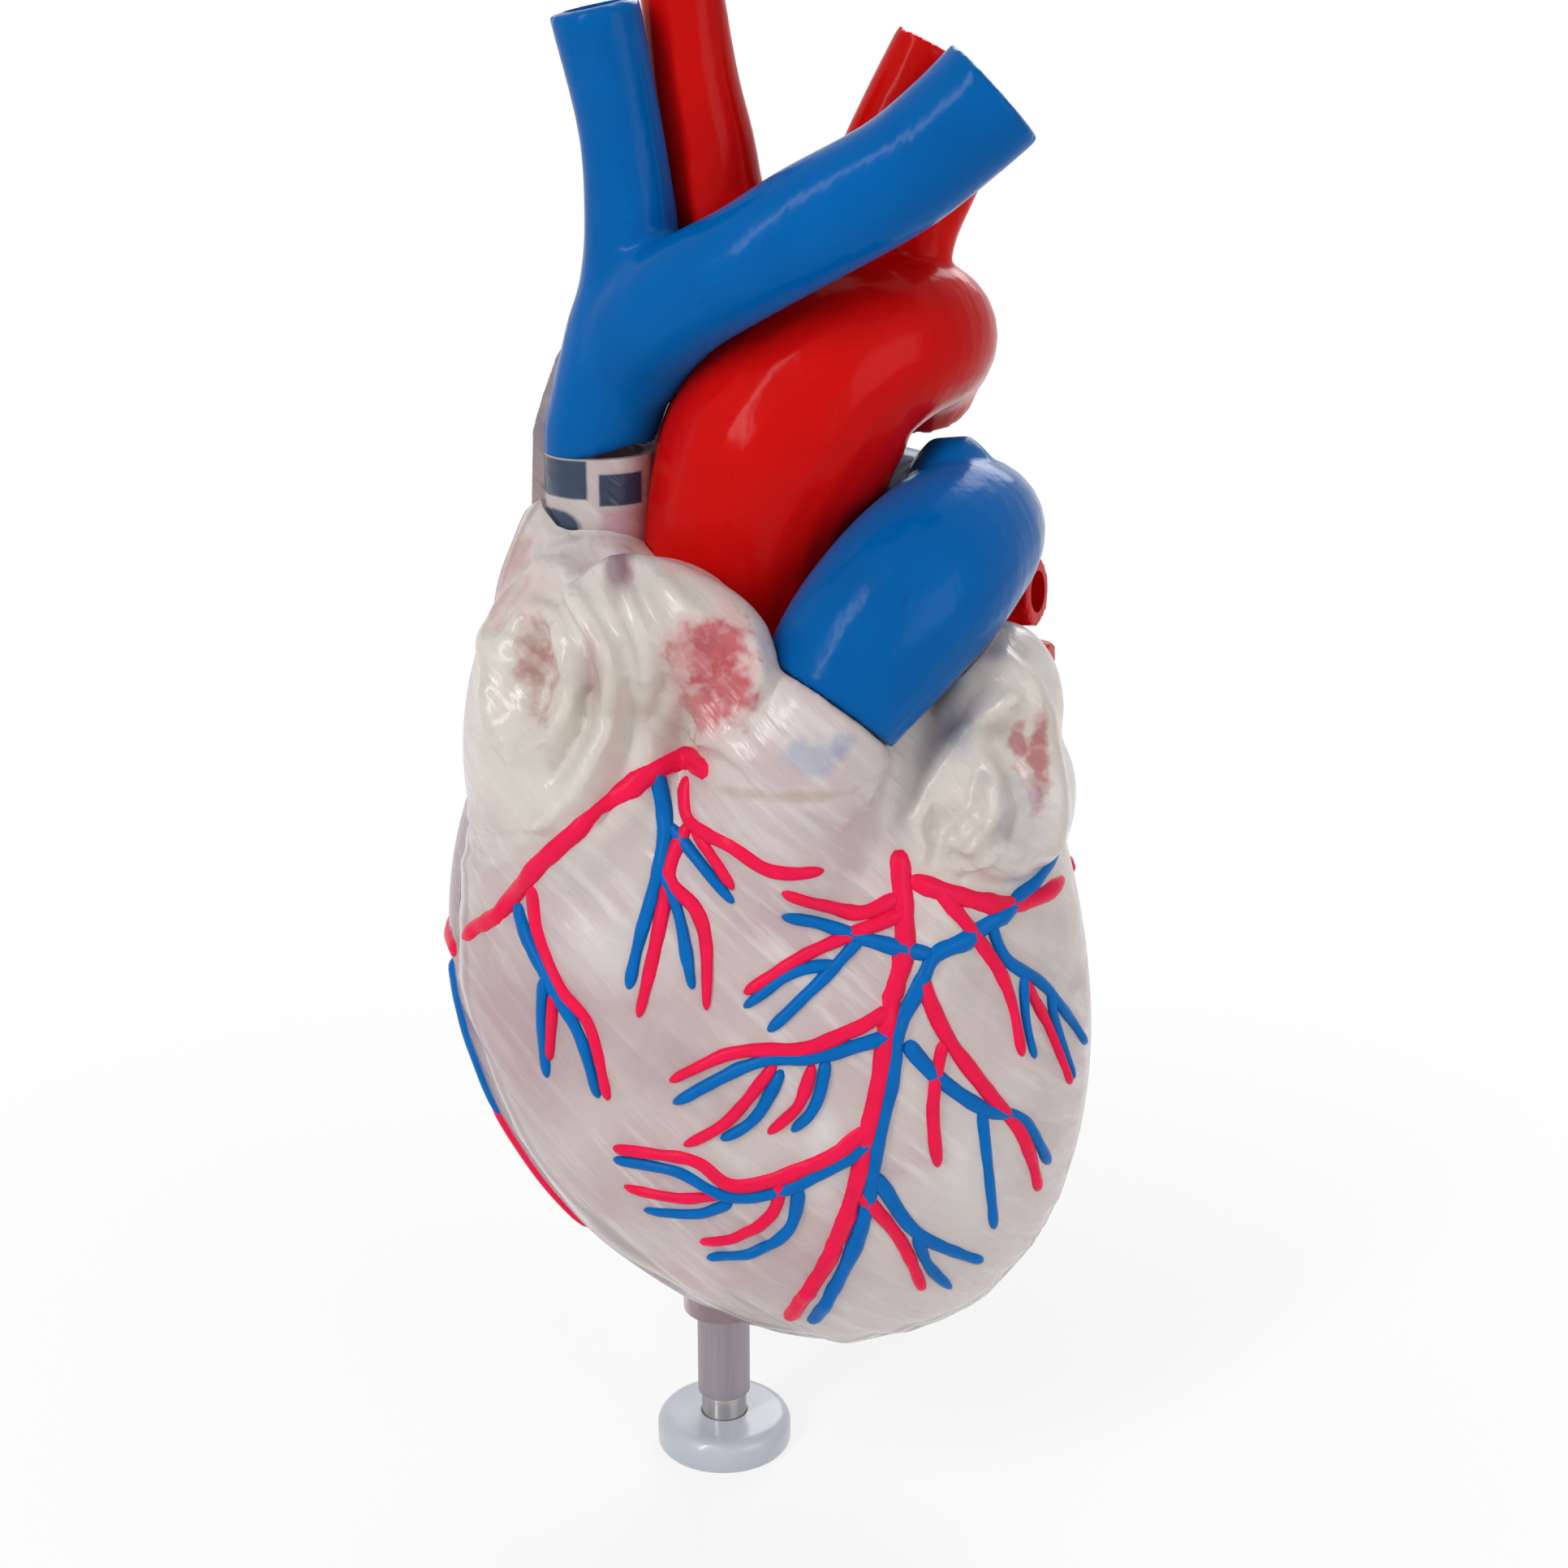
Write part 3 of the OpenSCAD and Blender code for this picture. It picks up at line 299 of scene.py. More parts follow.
def select_only(*objects):
    if bpy.context.mode != "OBJECT":
        bpy.ops.object.mode_set(mode="OBJECT")
    bpy.ops.object.select_all(action="DESELECT")
    for obj in objects:
        obj.select_set(True)
    bpy.context.view_layer.objects.active = objects[0]


def finish_with(obj, kind, **settings):
    """Adds a modifier, sets it and applies it."""
    select_only(obj)
    modifier = obj.modifiers.new(kind, kind)
    for key, value in settings.items():
        setattr(modifier, key, value)
    bpy.ops.object.modifier_apply(modifier=modifier.name)


def merge_points(obj, distance=0.00001):
    select_only(obj)
    bpy.ops.object.mode_set(mode="EDIT")
    bpy.ops.mesh.select_all(action="SELECT")
    bpy.ops.mesh.remove_doubles(threshold=distance)
    bpy.ops.mesh.normals_make_consistent(inside=False)
    bpy.ops.object.mode_set(mode="OBJECT")


def curve_points(route, step=2.0):
    """Points every step or less along a curve through all the route's knots."""
    knots = [Vector(p) for p in route]
    points = []
    for i in range(len(knots) - 1):
        a, b, c, d = knots[max(i - 1, 0)], knots[i], knots[i + 1], knots[min(i + 2, len(knots) - 1)]
        parts = max(2, math.ceil((c - b).length / step))
        for j in range(parts):
            t = j / parts
            points.append(
                b + (c - a) * (t / 2) + (2 * a - 5 * b + 4 * c - d) * (t * t / 2)
                + (3 * b - a - 3 * c + d) * (t * t * t / 2)
            )
    points.append(knots[-1])
    return points


def tube(name, route, grow=0.0, over=0.0, resolution=10, step=2.0):
    """A closed round tube along a route in millimetres, carried past each end by over."""
    points = curve_points(route, step)
    if over:
        first = (points[0] - points[1]).to_3d().normalized() * over
        last = (points[-1] - points[-2]).to_3d().normalized() * over
        points.insert(0, Vector((*(points[0].to_3d() + first), points[0][3])))
        points.append(Vector((*(points[-1].to_3d() + last), points[-1][3])))
    return sweep(name, [[(p.to_3d(), p[3] + grow) for p in points]], resolution)


def sweep(name, lines, resolution=10):
    """Round bars along lists of points and radii in millimetres, as one mesh."""
    curve = bpy.data.curves.new(name, "CURVE")
    curve.dimensions = "3D"
    curve.bevel_depth = MM
    curve.bevel_resolution = resolution
    curve.use_fill_caps = True
    for line in lines:
        spline = curve.splines.new("POLY")
        spline.points.add(len(line) - 1)
        for point, (place, radius) in zip(spline.points, line):
            point.co = (*(Vector(place) * MM), 1)
            point.radius = max(radius, 0.05)
    obj = bpy.data.objects.new(name, curve)
    bpy.context.scene.collection.objects.link(obj)
    select_only(obj)
    bpy.ops.object.convert(target="MESH")
    obj = bpy.context.view_layer.objects.active
    merge_points(obj)
    return obj


def ball(name, centre, half, segments=64, rings=40):
    """An ellipsoid at its size and place in millimetres."""
    if bpy.context.mode != "OBJECT":
        bpy.ops.object.mode_set(mode="OBJECT")
    bpy.ops.mesh.primitive_uv_sphere_add(segments=segments, ring_count=rings, radius=MM, location=Vector(centre) * MM)
    obj = bpy.context.active_object
    obj.name = name
    obj.scale = half
    bpy.ops.object.transform_apply(location=True, rotation=True, scale=True)
    return obj


def join(name, objects):
    select_only(*objects)
    bpy.ops.object.join()
    obj = bpy.context.view_layer.objects.active
    obj.name = name
    obj.data.name = name
    return obj


def fuse(obj, voxel, passes):
    """One closed skin over all that the object holds, with its creases softened."""
    finish_with(obj, "REMESH", mode="VOXEL", voxel_size=voxel * MM, use_smooth_shade=True)
    if passes:
        finish_with(obj, "SMOOTH", factor=0.5, iterations=passes)
    return obj


def cut(obj, tool):
    """Takes the tool's form out of the object."""
    finish_with(obj, "BOOLEAN", operation="DIFFERENCE", object=tool, solver="MANIFOLD", material_mode="TRANSFER")
    bpy.data.objects.remove(tool)


def copy_of(obj, name):
    twin = obj.copy()
    twin.data = obj.data.copy()
    twin.name = name
    twin.data.name = name
    bpy.context.scene.collection.objects.link(twin)
    return twin


def places(obj):
    co = np.empty(len(obj.data.vertices) * 3)
    obj.data.vertices.foreach_get("co", co)
    return co.reshape(-1, 3)


def put_places(obj, co):
    obj.data.vertices.foreach_set("co", co.ravel())
    obj.data.update()


def slice_off(obj, point, normal, fill=False):
    """Cuts the object along a plane, given in millimetres, and drops what lies beyond it along the normal."""
    select_only(obj)
    bpy.ops.object.mode_set(mode="EDIT")
    bpy.ops.mesh.select_all(action="SELECT")
    bpy.ops.mesh.bisect(plane_co=Vector(point) * MM, plane_no=normal, clear_outer=True, use_fill=fill)
    bpy.ops.object.mode_set(mode="OBJECT")


def smooth_shade(obj, angle=None):
    select_only(obj)
    if angle is None:
        bpy.ops.object.shade_smooth()
    else:
        bpy.ops.object.shade_smooth_by_angle(angle=math.radians(angle))


def vessels(name, routes, bored, passes=6, grain=VESSEL_GRAIN):
    """Vessels fused into one casting along their routes, with an open bore along each of the bored ones."""
    obj = fuse(join(name, [tube("vessel", route) for route in routes]), grain, passes)
    for route in bored:
        cut(obj, tube("bore", route, -sizes().vessel_wall, BORE_OVER))
    smooth_shade(obj, 35)
    return obj


def dress(obj, paint, body, slot, *nodes):
    """Gives a finished piece its paint and body, hides the nodes that it stands for, and keeps it in the box. The slot
    is not used.
    """
    put_places(obj, np.clip(places(obj), *CAD_BOX))
    obj.data.materials.clear()
    obj.data.materials.append(bpy.data.materials[paint])
    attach(obj, body)
    if nodes:
        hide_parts(*nodes)


# ---- Materials ----


class Nodes:
    """A tree of shader nodes that is built up step by step."""

    def __init__(self, tree):
        self.tree = tree

    def node(self, kind, **settings):
        node = self.tree.nodes.new(kind)
        for key, value in settings.items():
            setattr(node, key, value)
        return node

    def link(self, a, b):
        self.tree.links.new(a, b)

    def math(self, operation, a, b=None):
        node = self.node("ShaderNodeMath", operation=operation)
        for socket, value in zip(node.inputs, (a, b)):
            if isinstance(value, (int, float)):
                socket.default_value = value
            elif value is not None:
                self.link(value, socket)
        return node.outputs[0]

    def vector(self, operation, a, b=None, result=0):
        node = self.node("ShaderNodeVectorMath", operation=operation)
        self.link(a, node.inputs[0])
        if b is not None:
            node.inputs[1].default_value = b
        return node.outputs[result]

    def fade(self, value, near, far, start, end):
        """Goes from start to end while the value goes from near to far."""
        node = self.node("ShaderNodeMapRange")
        self.link(value, node.inputs["Value"])
        for socket, setting in zip(("From Min", "From Max", "To Min", "To Max"), (near, far, start, end)):
            node.inputs[socket].default_value = setting
        return node.outputs["Result"]

    def seen_directly(self):
        """1 for rays of the camera, of mirrors and of glass."""
        path = self.node("ShaderNodeLightPath")
        total = path.outputs["Is Camera Ray"]
        for ray in ("Is Glossy Ray", "Is Transmission Ray"):
            total = self.math("MAXIMUM", total, path.outputs[ray])
        return total

    def blend(self, factor, first, second, end):
        """Leads the blend of two shaders into the tree's end."""
        mix = self.node("ShaderNodeMixShader")
        self.link(factor, mix.inputs["Fac"])
        self.link(first.outputs[0], mix.inputs[1])
        self.link(second.outputs[0], mix.inputs[2])
        self.link(mix.outputs[0], self.tree.nodes[end].inputs["Surface"])


class Finish(Nodes):
    """A node material on Object coordinates, built up from a Principled shader."""

    def __init__(self, name, colour, roughness, **sockets):
        self.material = bpy.data.materials.new(name)
        self.material.use_nodes = True
        super().__init__(self.material.node_tree)
        self.shader = self.tree.nodes["Principled BSDF"]
        self.shader.inputs["Roughness"].default_value = roughness
        self.colour = (*colour, 1)
        self.shader.inputs["Base Color"].default_value = self.colour
        for key, value in sockets.items():
            self.shader.inputs[key.replace("_", " ")].default_value = value
        self.place = self.node("ShaderNodeTexCoord").outputs["Object"]
        self.bump_into = None

    def mapped(self, turn=(0, 0, 0), scale=(1, 1, 1)):
        """Coordinates turned, in degrees, and then stretched."""
        turned = self.node("ShaderNodeMapping")
        turned.inputs["Rotation"].default_value = [math.radians(v) for v in turn]
        self.link(self.place, turned.inputs["Vector"])
        scaled = self.node("ShaderNodeMapping")
        scaled.inputs["Scale"].default_value = scale
        self.link(turned.outputs["Vector"], scaled.inputs["Vector"])
        return scaled.outputs["Vector"]

    def spot(self, centre, half, strength, edge=0.35, ragged=0.5, grain=120, block=False):
        """The strength inside an ellipsoid or block of these half sizes in millimetres, fading over a ragged edge."""
        shift = self.vector("SUBTRACT", self.place, [v * MM for v in centre])
        stretch = self.vector("DIVIDE", shift, [v * MM for v in half])
        if block:
            sides = self.node("ShaderNodeSeparateXYZ")
            self.link(self.vector("ABSOLUTE", stretch), sides.inputs[0])
            away = self.math("MAXIMUM", self.math("MAXIMUM", sides.outputs[0], sides.outputs[1]), sides.outputs[2])
        else:
            away = self.vector("LENGTH", stretch, result="Value")
        wander = self.math("MULTIPLY", self.math("SUBTRACT", self.noise(grain, 4), 0.5), ragged * 2)
        return self.fade(self.math("ADD", away, wander), 1 - edge, 1 + edge, strength, 0)

    def band(self, near, far, strength, soft):
        """The strength between two distances in millimetres in front of the seam, fading over soft."""
        shift = self.vector("SUBTRACT", self.place, SEAM_POINT * MM)
        along = self.vector("DOT_PRODUCT", shift, PULL, "Value")
        away = self.math("ABSOLUTE", self.math("SUBTRACT", along, (near + far) / 2 * MM))
        edge = (far - near) / 2
        return self.fade(away, (edge - soft) * MM, (edge + soft) * MM, strength, 0)

    def drive(self, socket, factor, low, high):
        """Lets a factor from 0 to 1 move a socket of the shader from low to high."""
        scaled = self.math("MULTIPLY_ADD", factor, high - low)
        scaled.node.inputs[2].default_value = low
        self.link(scaled, self.shader.inputs[socket])

    def noise(self, scale, detail=3.0, vector=None, distortion=0.0):
        """Noise with about scale grains to the metre."""
        noise = self.node("ShaderNodeTexNoise")
        noise.inputs["Scale"].default_value = scale
        noise.inputs["Detail"].default_value = detail
        noise.inputs["Distortion"].default_value = distortion
        self.link(vector or self.place, noise.inputs["Vector"])
        return noise.outputs["Fac"]

    def ramp(self, factor, low, high, peak=1):
        """Nothing up to low, and peak from high on."""
        ramp = self.node("ShaderNodeValToRGB")
        ramp.color_ramp.elements[0].position = low
        ramp.color_ramp.elements[1].position = high
        ramp.color_ramp.elements[1].color = (peak, peak, peak, 1)
        self.link(factor, ramp.inputs["Fac"])
        return ramp.outputs["Color"]

    def tint(self, factor, colour):
        """Mixes another colour over what the shader has so far."""
        mix = self.node("ShaderNodeMix", data_type="RGBA")
        base = self.shader.inputs["Base Color"]
        if base.links:
            self.link(base.links[0].from_socket, mix.inputs["A"])
        else:
            mix.inputs["A"].default_value = self.colour
        mix.inputs["B"].default_value = (*colour, 1)
        self.link(factor, mix.inputs["Factor"])
        self.link(mix.outputs["Result"], base)

    def bump(self, height, distance):
        """Adds relief of about distance millimetres."""
        bump = self.node("ShaderNodeBump")
        bump.inputs["Distance"].default_value = distance * MM
        self.link(height, bump.inputs["Height"])
        if self.bump_into:
            self.link(self.bump_into, bump.inputs["Normal"])
        self.bump_into = bump.outputs["Normal"]
        self.link(self.bump_into, self.shader.inputs["Normal"])


def darker(colour, share):
    return tuple(v * share for v in colour)


def vessel_paint(name, colour):
    """Glossy brushed enamel on a casting."""
    finish = Finish(name, colour, 0.19, Specular_IOR_Level=0.06)
    finish.tint(finish.ramp(finish.noise(45, 2), 0.35, 0.75), darker(colour, 0.82))
    finish.tint(finish.ramp(finish.noise(900, 2), 0.62, 0.8, peak=0.35), darker(colour, 0.6))
    finish.bump(finish.noise(110, 3, vector=finish.mapped(scale=(1, 1, 0.3))), 0.5)
    finish.bump(finish.noise(700, 2), 0.03)
    return finish.material


def line_paint(name, colour):
    finish = Finish(name, colour, 0.32, Specular_IOR_Level=0.08)
    finish.tint(finish.ramp(finish.noise(260, 3), 0.4, 0.8, peak=0.5), darker(colour, 0.75))
    finish.bump(finish.noise(800, 2), 0.08)
    return finish.material


def clear_plastic(name, colour, milk, tints, bands):
    """Cast see-through plastic: milky, with a fine grain that runs down to the right as the muscle does."""
    finish = Finish(name, colour, 0.2, IOR=1.4)
    grain = finish.noise(55, 4, vector=finish.mapped(turn=(0, 45, 0), scale=(9, 2, 1)))
    clouds = finish.noise(32, 4, distortion=0.6)
    finish.tint(finish.ramp(clouds, 0.46, 0.66, peak=0.85), (0.64, 0.48, 0.5))
    finish.tint(finish.ramp(grain, 0.5, 0.68, peak=0.65), (0.98, 0.95, 0.92))
    # Bands and spots of colour laid over the plastic, among them painted highlights and painted reflections
    for near, far, tint, strength, soft in bands:
        finish.tint(finish.band(near, far, strength, soft), tint)
    for centre, half, tint, strength, *edge in tints:
        finish.tint(finish.spot(centre, half, strength, *edge), tint)
    finish.drive("Transmission Weight", clouds, 1.3 - milk, 0.6 - milk)
    finish.drive("Roughness", grain, 0.14, 0.3)
    finish.bump(grain, 0.5)
    finish.bump(finish.noise(150, 3), 0.3)
    return finish.material


# Tints of the shells: centre, half sizes, colour, strength, and then how soft, ragged and fine the edge is
# Cream of the auricles, and navy for the painted reflections of the blue cava on the clear neck
CREAM, NAVY_CAVA_REFLECTION = (0.93, 0.89, 0.81), (0.01, 0.05, 0.13)
FRONT_TINTS = (
    ((-26, -28, 142), (20, 22, 24), CREAM, 0.8),
    ((-4, -34, 149), (14, 16, 14), CREAM, 0.7),
    ((42, -22, 127), (15, 24, 22), CREAM, 0.7),
    ((0, -38, 147.2), (6.2, 12, 8.6), (0.86, 0.5, 0.5), 0.85, 0.35, 0.7, 160),
    ((0.6, -38, 150.5), (4.4, 12, 3.6), (0.66, 0.1, 0.13), 0.85, 0.4, 1.5, 420),
    ((2.6, -38, 145), (3, 12, 4), (0.62, 0.08, 0.1), 0.8, 0.4, 1.5, 420),
    ((-1.4, -38, 142), (2.6, 12, 3), (0.66, 0.12, 0.14), 0.7, 0.4, 1.5, 420),
    ((-25.5, -30, 145), (2.6, 14, 5.4), (0.62, 0.26, 0.24), 0.7, 0.5, 1.5, 380),
    ((-32, -6, 155), (3.4, 14, 6.5), (0.62, 0.26, 0.24), 0.5, 0.4, 1.2, 300),
    ((-17, -30, 146), (1.6, 14, 6), (0.6, 0.34, 0.34), 0.5, 0.4, 0.6, 200),
    ((-28, -26, 156), (4, 14, 4.5), (0.7, 0.42, 0.4), 0.45, 0.4, 0.6, 160),
    ((-13.4, -26, 161.5), (1.9, 12, 5), (0.3, 0.16, 0.22), 0.75, 0.4, 0.5, 160),
    ((14.5, -38, 136), (3.6, 12, 2.4), (0.42, 0.48, 0.64), 0.6, 0.4, 1.2, 260),
    ((18.5, -38, 137.4), (1.6, 12, 1.4), (0.3, 0.38, 0.6), 0.5, 0.4, 1.2, 300),
    ((11, -38, 130.5), (8, 12, 0.8), (0.5, 0.38, 0.28), 0.45, 0.5, 0.9, 300),
    ((47.4, -24, 130.5), (1.5, 14, 5.5), (0.56, 0.1, 0.12), 0.75, 0.4, 1.5, 380),
    ((44.8, -26, 133), (1.2, 14, 4), (0.56, 0.1, 0.12), 0.65, 0.4, 1.5, 380),
    ((45, -26, 122), (4, 14, 6), (0.5, 0.48, 0.58), 0.45, 0.4, 1.2, 260),
    ((36, -26, 134.5), (2.4, 14, 3.2), (0.52, 0.56, 0.64), 0.5, 0.4, 1.2, 260),
    ((-30, -30, 88), (10, 20, 16), (0.58, 0.38, 0.42), 0.6, 0.5),
    ((-8, -38, 92), (13, 16, 12), (0.66, 0.48, 0.5), 0.5, 0.5),
    ((12, -40, 52), (10, 18, 9), (0.66, 0.5, 0.52), 0.5, 0.5),
    # Two near-white patches, one tall and one small: painted highlights on the clear plastic
    ((40, -34, 66), (6, 16, 16), (0.95, 0.92, 0.9), 0.6, 0.5),
    ((16, -40, 74), (2.6, 16, 6), (0.98, 0.97, 0.96), 0.85, 0.5, 0.4, 160),
    ((-14, -38, 104), (9, 16, 5), (0.95, 0.91, 0.88), 0.6, 0.5),
)
BACK_TINTS = (
    # Navy patches on the clear neck under the upper cava: painted reflections of the blue cava
    ((-22.9, -6, 168.6), (3.8, 9, 2.9), NAVY_CAVA_REFLECTION, 0.95, 0.06, 0.04, 300, True),
    ((-14.2, -6, 167.1), (3.1, 9, 2.4), NAVY_CAVA_REFLECTION, 0.95, 0.06, 0.04, 300, True),
    ((-13.8, -6, 161), (3.4, 9, 3), (0.78, 0.44, 0.5), 0.7, 0.2, 0.2, 200, True),
    ((-24.8, -6, 161.6), (4.6, 12, 2.2), NAVY_CAVA_REFLECTION, 0.95, 0.12, 0.15, 200),
    ((-33, 0, 156), (4, 12, 9), (0.62, 0.28, 0.24), 0.6, 0.4, 0.9, 300),
)
# Bands along the seam: from and to in millimetres in front of it, colour, strength and how soft
# The front's first band, pale, is a painted highlight along the seam; its second is darker
FRONT_BANDS = ((-1, 1.3, (0.98, 0.96, 0.94), 0.85, 0.4), (1.5, 3, (0.42, 0.3, 0.34), 0.5, 0.6))
BACK_BANDS = ((-20, -0.2, (0.46, 0.3, 0.36), 0.8, 0.8),)


def inside_paint(name, colour, deep):
    finish = Finish(name, colour, 0.45)
    finish.tint(finish.ramp(finish.noise(70, 4), 0.4, 0.7, peak=0.7), deep)
    finish.bump(finish.noise(180, 4), 0.4)
    return finish.material


def satin_metal(name, colour, roughness):
    finish = Finish(name, colour, roughness, Metallic=1.0)
    lines = finish.noise(600, 3, vector=finish.mapped(scale=(1, 1, 0.05)))
    finish.tint(finish.ramp(lines, 0.35, 0.7), darker(colour, 0.82))
    finish.bump(lines, 0.01)
    return finish.material


def foot_paint(name, colour):
    finish = Finish(name, colour, 0.35, Coat_Weight=0.3)
    finish.tint(finish.ramp(finish.noise(120, 3), 0.4, 0.8, peak=0.5), darker(colour, 0.93))
    finish.bump(finish.noise(900, 3), 0.03)
    return finish.material


def rubber(name, colour):
    finish = Finish(name, colour, 0.8)
    finish.tint(finish.ramp(finish.noise(500, 3), 0.4, 0.7), darker(colour, 0.6))
    finish.bump(finish.noise(1200, 2), 0.05)
    return finish.material


# ---- The heart's outer form ----


def middle(c, shift):
    """How far right the body's middle lies at the depth c, which goes from -1 at the crown to 1 at the apex."""
    return shift[0] + shift[1] * c + shift[2] * c * c


def egg():
    """A ball pushed into the body's egg: fuller at the crown, deeper in front."""
    obj = ball("egg", (0, 0, 0), (1, 1, 1), 128, 96)
    unit = places(obj) / MM
    c = -unit[:, 2]
    turn = np.arctan2(unit[:, 1], unit[:, 0])
    share = np.sqrt(np.clip(1 - c * c, 0, 1)) ** np.where(c < 0, 0.8, 1.0)
    depth = np.where(unit[:, 1] < 0, FRONT_DEPTH, BACK_DEPTH)
    co = np.column_stack([
        middle(c, EGG_SHIFT) + share * HALF_WIDTH * np.cos(turn),
        EGG_TILT * c + share * depth * np.sin(turn),
        EGG_MID - c * EGG_HALF,
    ])
    put_places(obj, co * MM)
    return obj


def smooth_step(x):
    x = np.clip(x, 0, 1)
    return x * x * (3 - 2 * x)


def away_from(line, x, z):
    """Distance of each point x, z to a line of points, as the viewer sees them."""
    best = np.full(len(x), 1e9)
    for (x0, z0), (x1, z1) in zip(line, line[1:]):
        dx, dz = x1 - x0, z1 - z0
        t = np.clip(((x - x0) * dx + (z - z0) * dz) / (dx * dx + dz * dz), 0, 1)
        best = np.minimum(best, np.hypot(x - x0 - t * dx, z - z0 - t * dz))
    return best


# Folds of the auricles as the viewer sees them: height, half width, then points x and z
FOLDS = (
    (1.3, 1.9, [(-34, 146), (-31.6, 151.6), (-26.1, 156.5), (-22, 156.8), (-18.5, 154.7), (-15.2, 150.4), (-14, 144.8),
        (-15.3, 137.3), (-19.8, 128.5), (-24.8, 123.4)]),
    (-1.3, 1.3, [(-31.5, 148.5), (-27.5, 155), (-23, 155.2), (-19, 150.5), (-17.2, 144), (-18.5, 137.5), (-22.5, 131)]),
    (1.2, 1.6, [(-32.6, 142.3), (-30.6, 147.3), (-28, 151.8), (-23.8, 151.9), (-21, 147.3), (-20.4, 141.1),
        (-23.8, 135.6), (-29, 132.8), (-32.4, 136.1), (-32.6, 142.3)]),
    (-2.6, 2.6, [(-25.7, 149.4), (-25, 144.8), (-26.3, 141)]),
    (0.8, 0.7, [(-28.2, 148), (-26.2, 146.8)]), (0.8, 0.7, [(-28.8, 144.5), (-26.4, 144.3)]),
    (0.8, 0.7, [(-28.4, 140.5), (-26.6, 141.8)]), (0.8, 0.7, [(-23, 147.8), (-24.6, 146.6)]),
    (0.8, 0.7, [(-22.8, 143), (-24.6, 143.4)]),
    (-1.2, 1.6, [(-17.1, 157.2), (-12.4, 149.8), (-11.3, 140), (-12.6, 131), (-16, 124.5)]),
    (0.8, 1.5, [(-14.4, 161.5), (-10.2, 153.5), (-9.3, 146)]),
    (-1.0, 1.1, [(-11.2, 160.5), (-7.2, 152.8), (-6.6, 144), (-8.5, 138.2)]),
    (0.9, 1.5, [(-6.8, 158.8), (-0.4, 153.8), (5.2, 151.2), (6.6, 147.2), (5.4, 143.2), (2.6, 139), (-2.6, 136.8)]),
    (-1.5, 3.2, [(0.2, 150.5), (0.8, 146), (-0.4, 142.5)]),
    (0.7, 0.45, [(-0.6, 141.8), (-0.9, 137.6)]), (0.6, 0.4, [(0.2, 141.2), (2.2, 138.8)]),
    (0.6, 0.4, [(-1.6, 141.4), (-3.6, 139)]), (0.6, 0.4, [(0.8, 142), (4, 141)]),
    (0.8, 1.1, [(-38.5, 118), (-31, 121.5), (-24.5, 123.8)]), (0.7, 1, [(-39.5, 113.5), (-32, 117.5), (-26.5, 120.5)]),
    (0.6, 0.9, [(-40.5, 109), (-34, 113), (-29, 117)]),
    (0.9, 1.4, [(30.4, 117.5), (29.4, 122.5), (31, 129), (34.8, 137), (38.4, 143.2), (42.6, 144.6), (46.6, 141.6),
        (49.2, 135.6), (50.6, 126), (50.6, 117.4)]),
    (1.3, 1.7, [(31, 124), (34.6, 130.4), (39.6, 136.4), (43.2, 139.6)]),
    (-1.9, 2.4, [(41.6, 134), (44, 131), (45.6, 124.5), (43, 120)]),
    (-1, 1.3, [(33.5, 121), (36.5, 125), (38, 130)]),
    (0.9, 1, [(37.5, 119), (40.6, 123.5), (41, 128)]), (0.8, 0.9, [(33, 116), (37, 115.4), (41.5, 117)]),
)


def sculpt(obj):
    """Presses the auricles' folds and the small lumps between them into the form's front."""
    co = places(obj) / MM
    normals = np.empty(len(obj.data.vertices) * 3)
    obj.data.vertex_normals.foreach_get("vector", normals)
    normals = normals.reshape(-1, 3)
    x, y, z = co.T
    front = smooth_step((-normals[:, 1] + 0.1) / 0.5) * smooth_step((-8 - y) / 6)
    push = np.zeros(len(x))
    for height, wide, line in FOLDS:
        push += height * np.exp(-((away_from(line, x, z) / wide) ** 2))
    lumps = np.array([noise.noise(Vector(p) * 0.42) + 0.5 * noise.noise(Vector(p) * 0.9) for p in co])
    where = np.exp(-(np.hypot((x - 36) / 6, (z - 119) / 6) ** 2)) + 0.5 * np.exp(
        -(np.hypot((x + 25) / 10, (z - 141) / 14) ** 2)
    )
    push += lumps * where
    # Broad swellings, and the fibres that run down to the right
    push += 0.5 * np.array([noise.noise(Vector((p[0] * 0.09 + p[2] * 0.05, p[1] * 0.05, p[2] * 0.05))) for p in co])
    fibres = np.array([
        noise.noise(Vector(((p[0] + p[2]) * 0.24, (p[0] - p[2]) * 0.03, p[1] * 0.06)))
        * (0.5 + noise.noise(Vector(p) * 0.05)) for p in co
    ])
    push += 0.8 * fibres * smooth_step((128 - z) / 10)
    put_places(obj, (co + normals * (sizes().whorl * front * push)[:, None]) * MM)


def lump(name, pieces, passes):
    """Several overlapping pieces as one soft form."""
    return fuse(join(name, pieces), sizes().voxel, passes)


def heart_form():
    """The body, and on it the collar and the two auricles, each with a crisp foot line."""
    form = lump("heart_form", [
        egg(), tube("cone", CONE), tube("root", VEIN_ROOT),
        *(ball("lobe", *half) for half in ATRIA),
    ], 12)
    parts = (
        lump("neck", [tube("neck", NECK)], 0),
        lump("collar", [tube("collar", COLLAR)], 1),
        lump("auricle", [ball("root", *AURICLE_ROOT), tube("auricle", RIGHT_AURICLE)], 8),
        lump("left_auricle", [ball("lobe", *half) for half in LEFT_AURICLE], 8),
    )
    for part in parts:
        finish_with(form, "BOOLEAN", operation="UNION", object=part, solver="MANIFOLD")
        bpy.data.objects.remove(part)
    fuse(form, sizes().voxel * 0.8, 2)
    sculpt(form)
    return fuse(form, sizes().voxel * 0.8, 1)


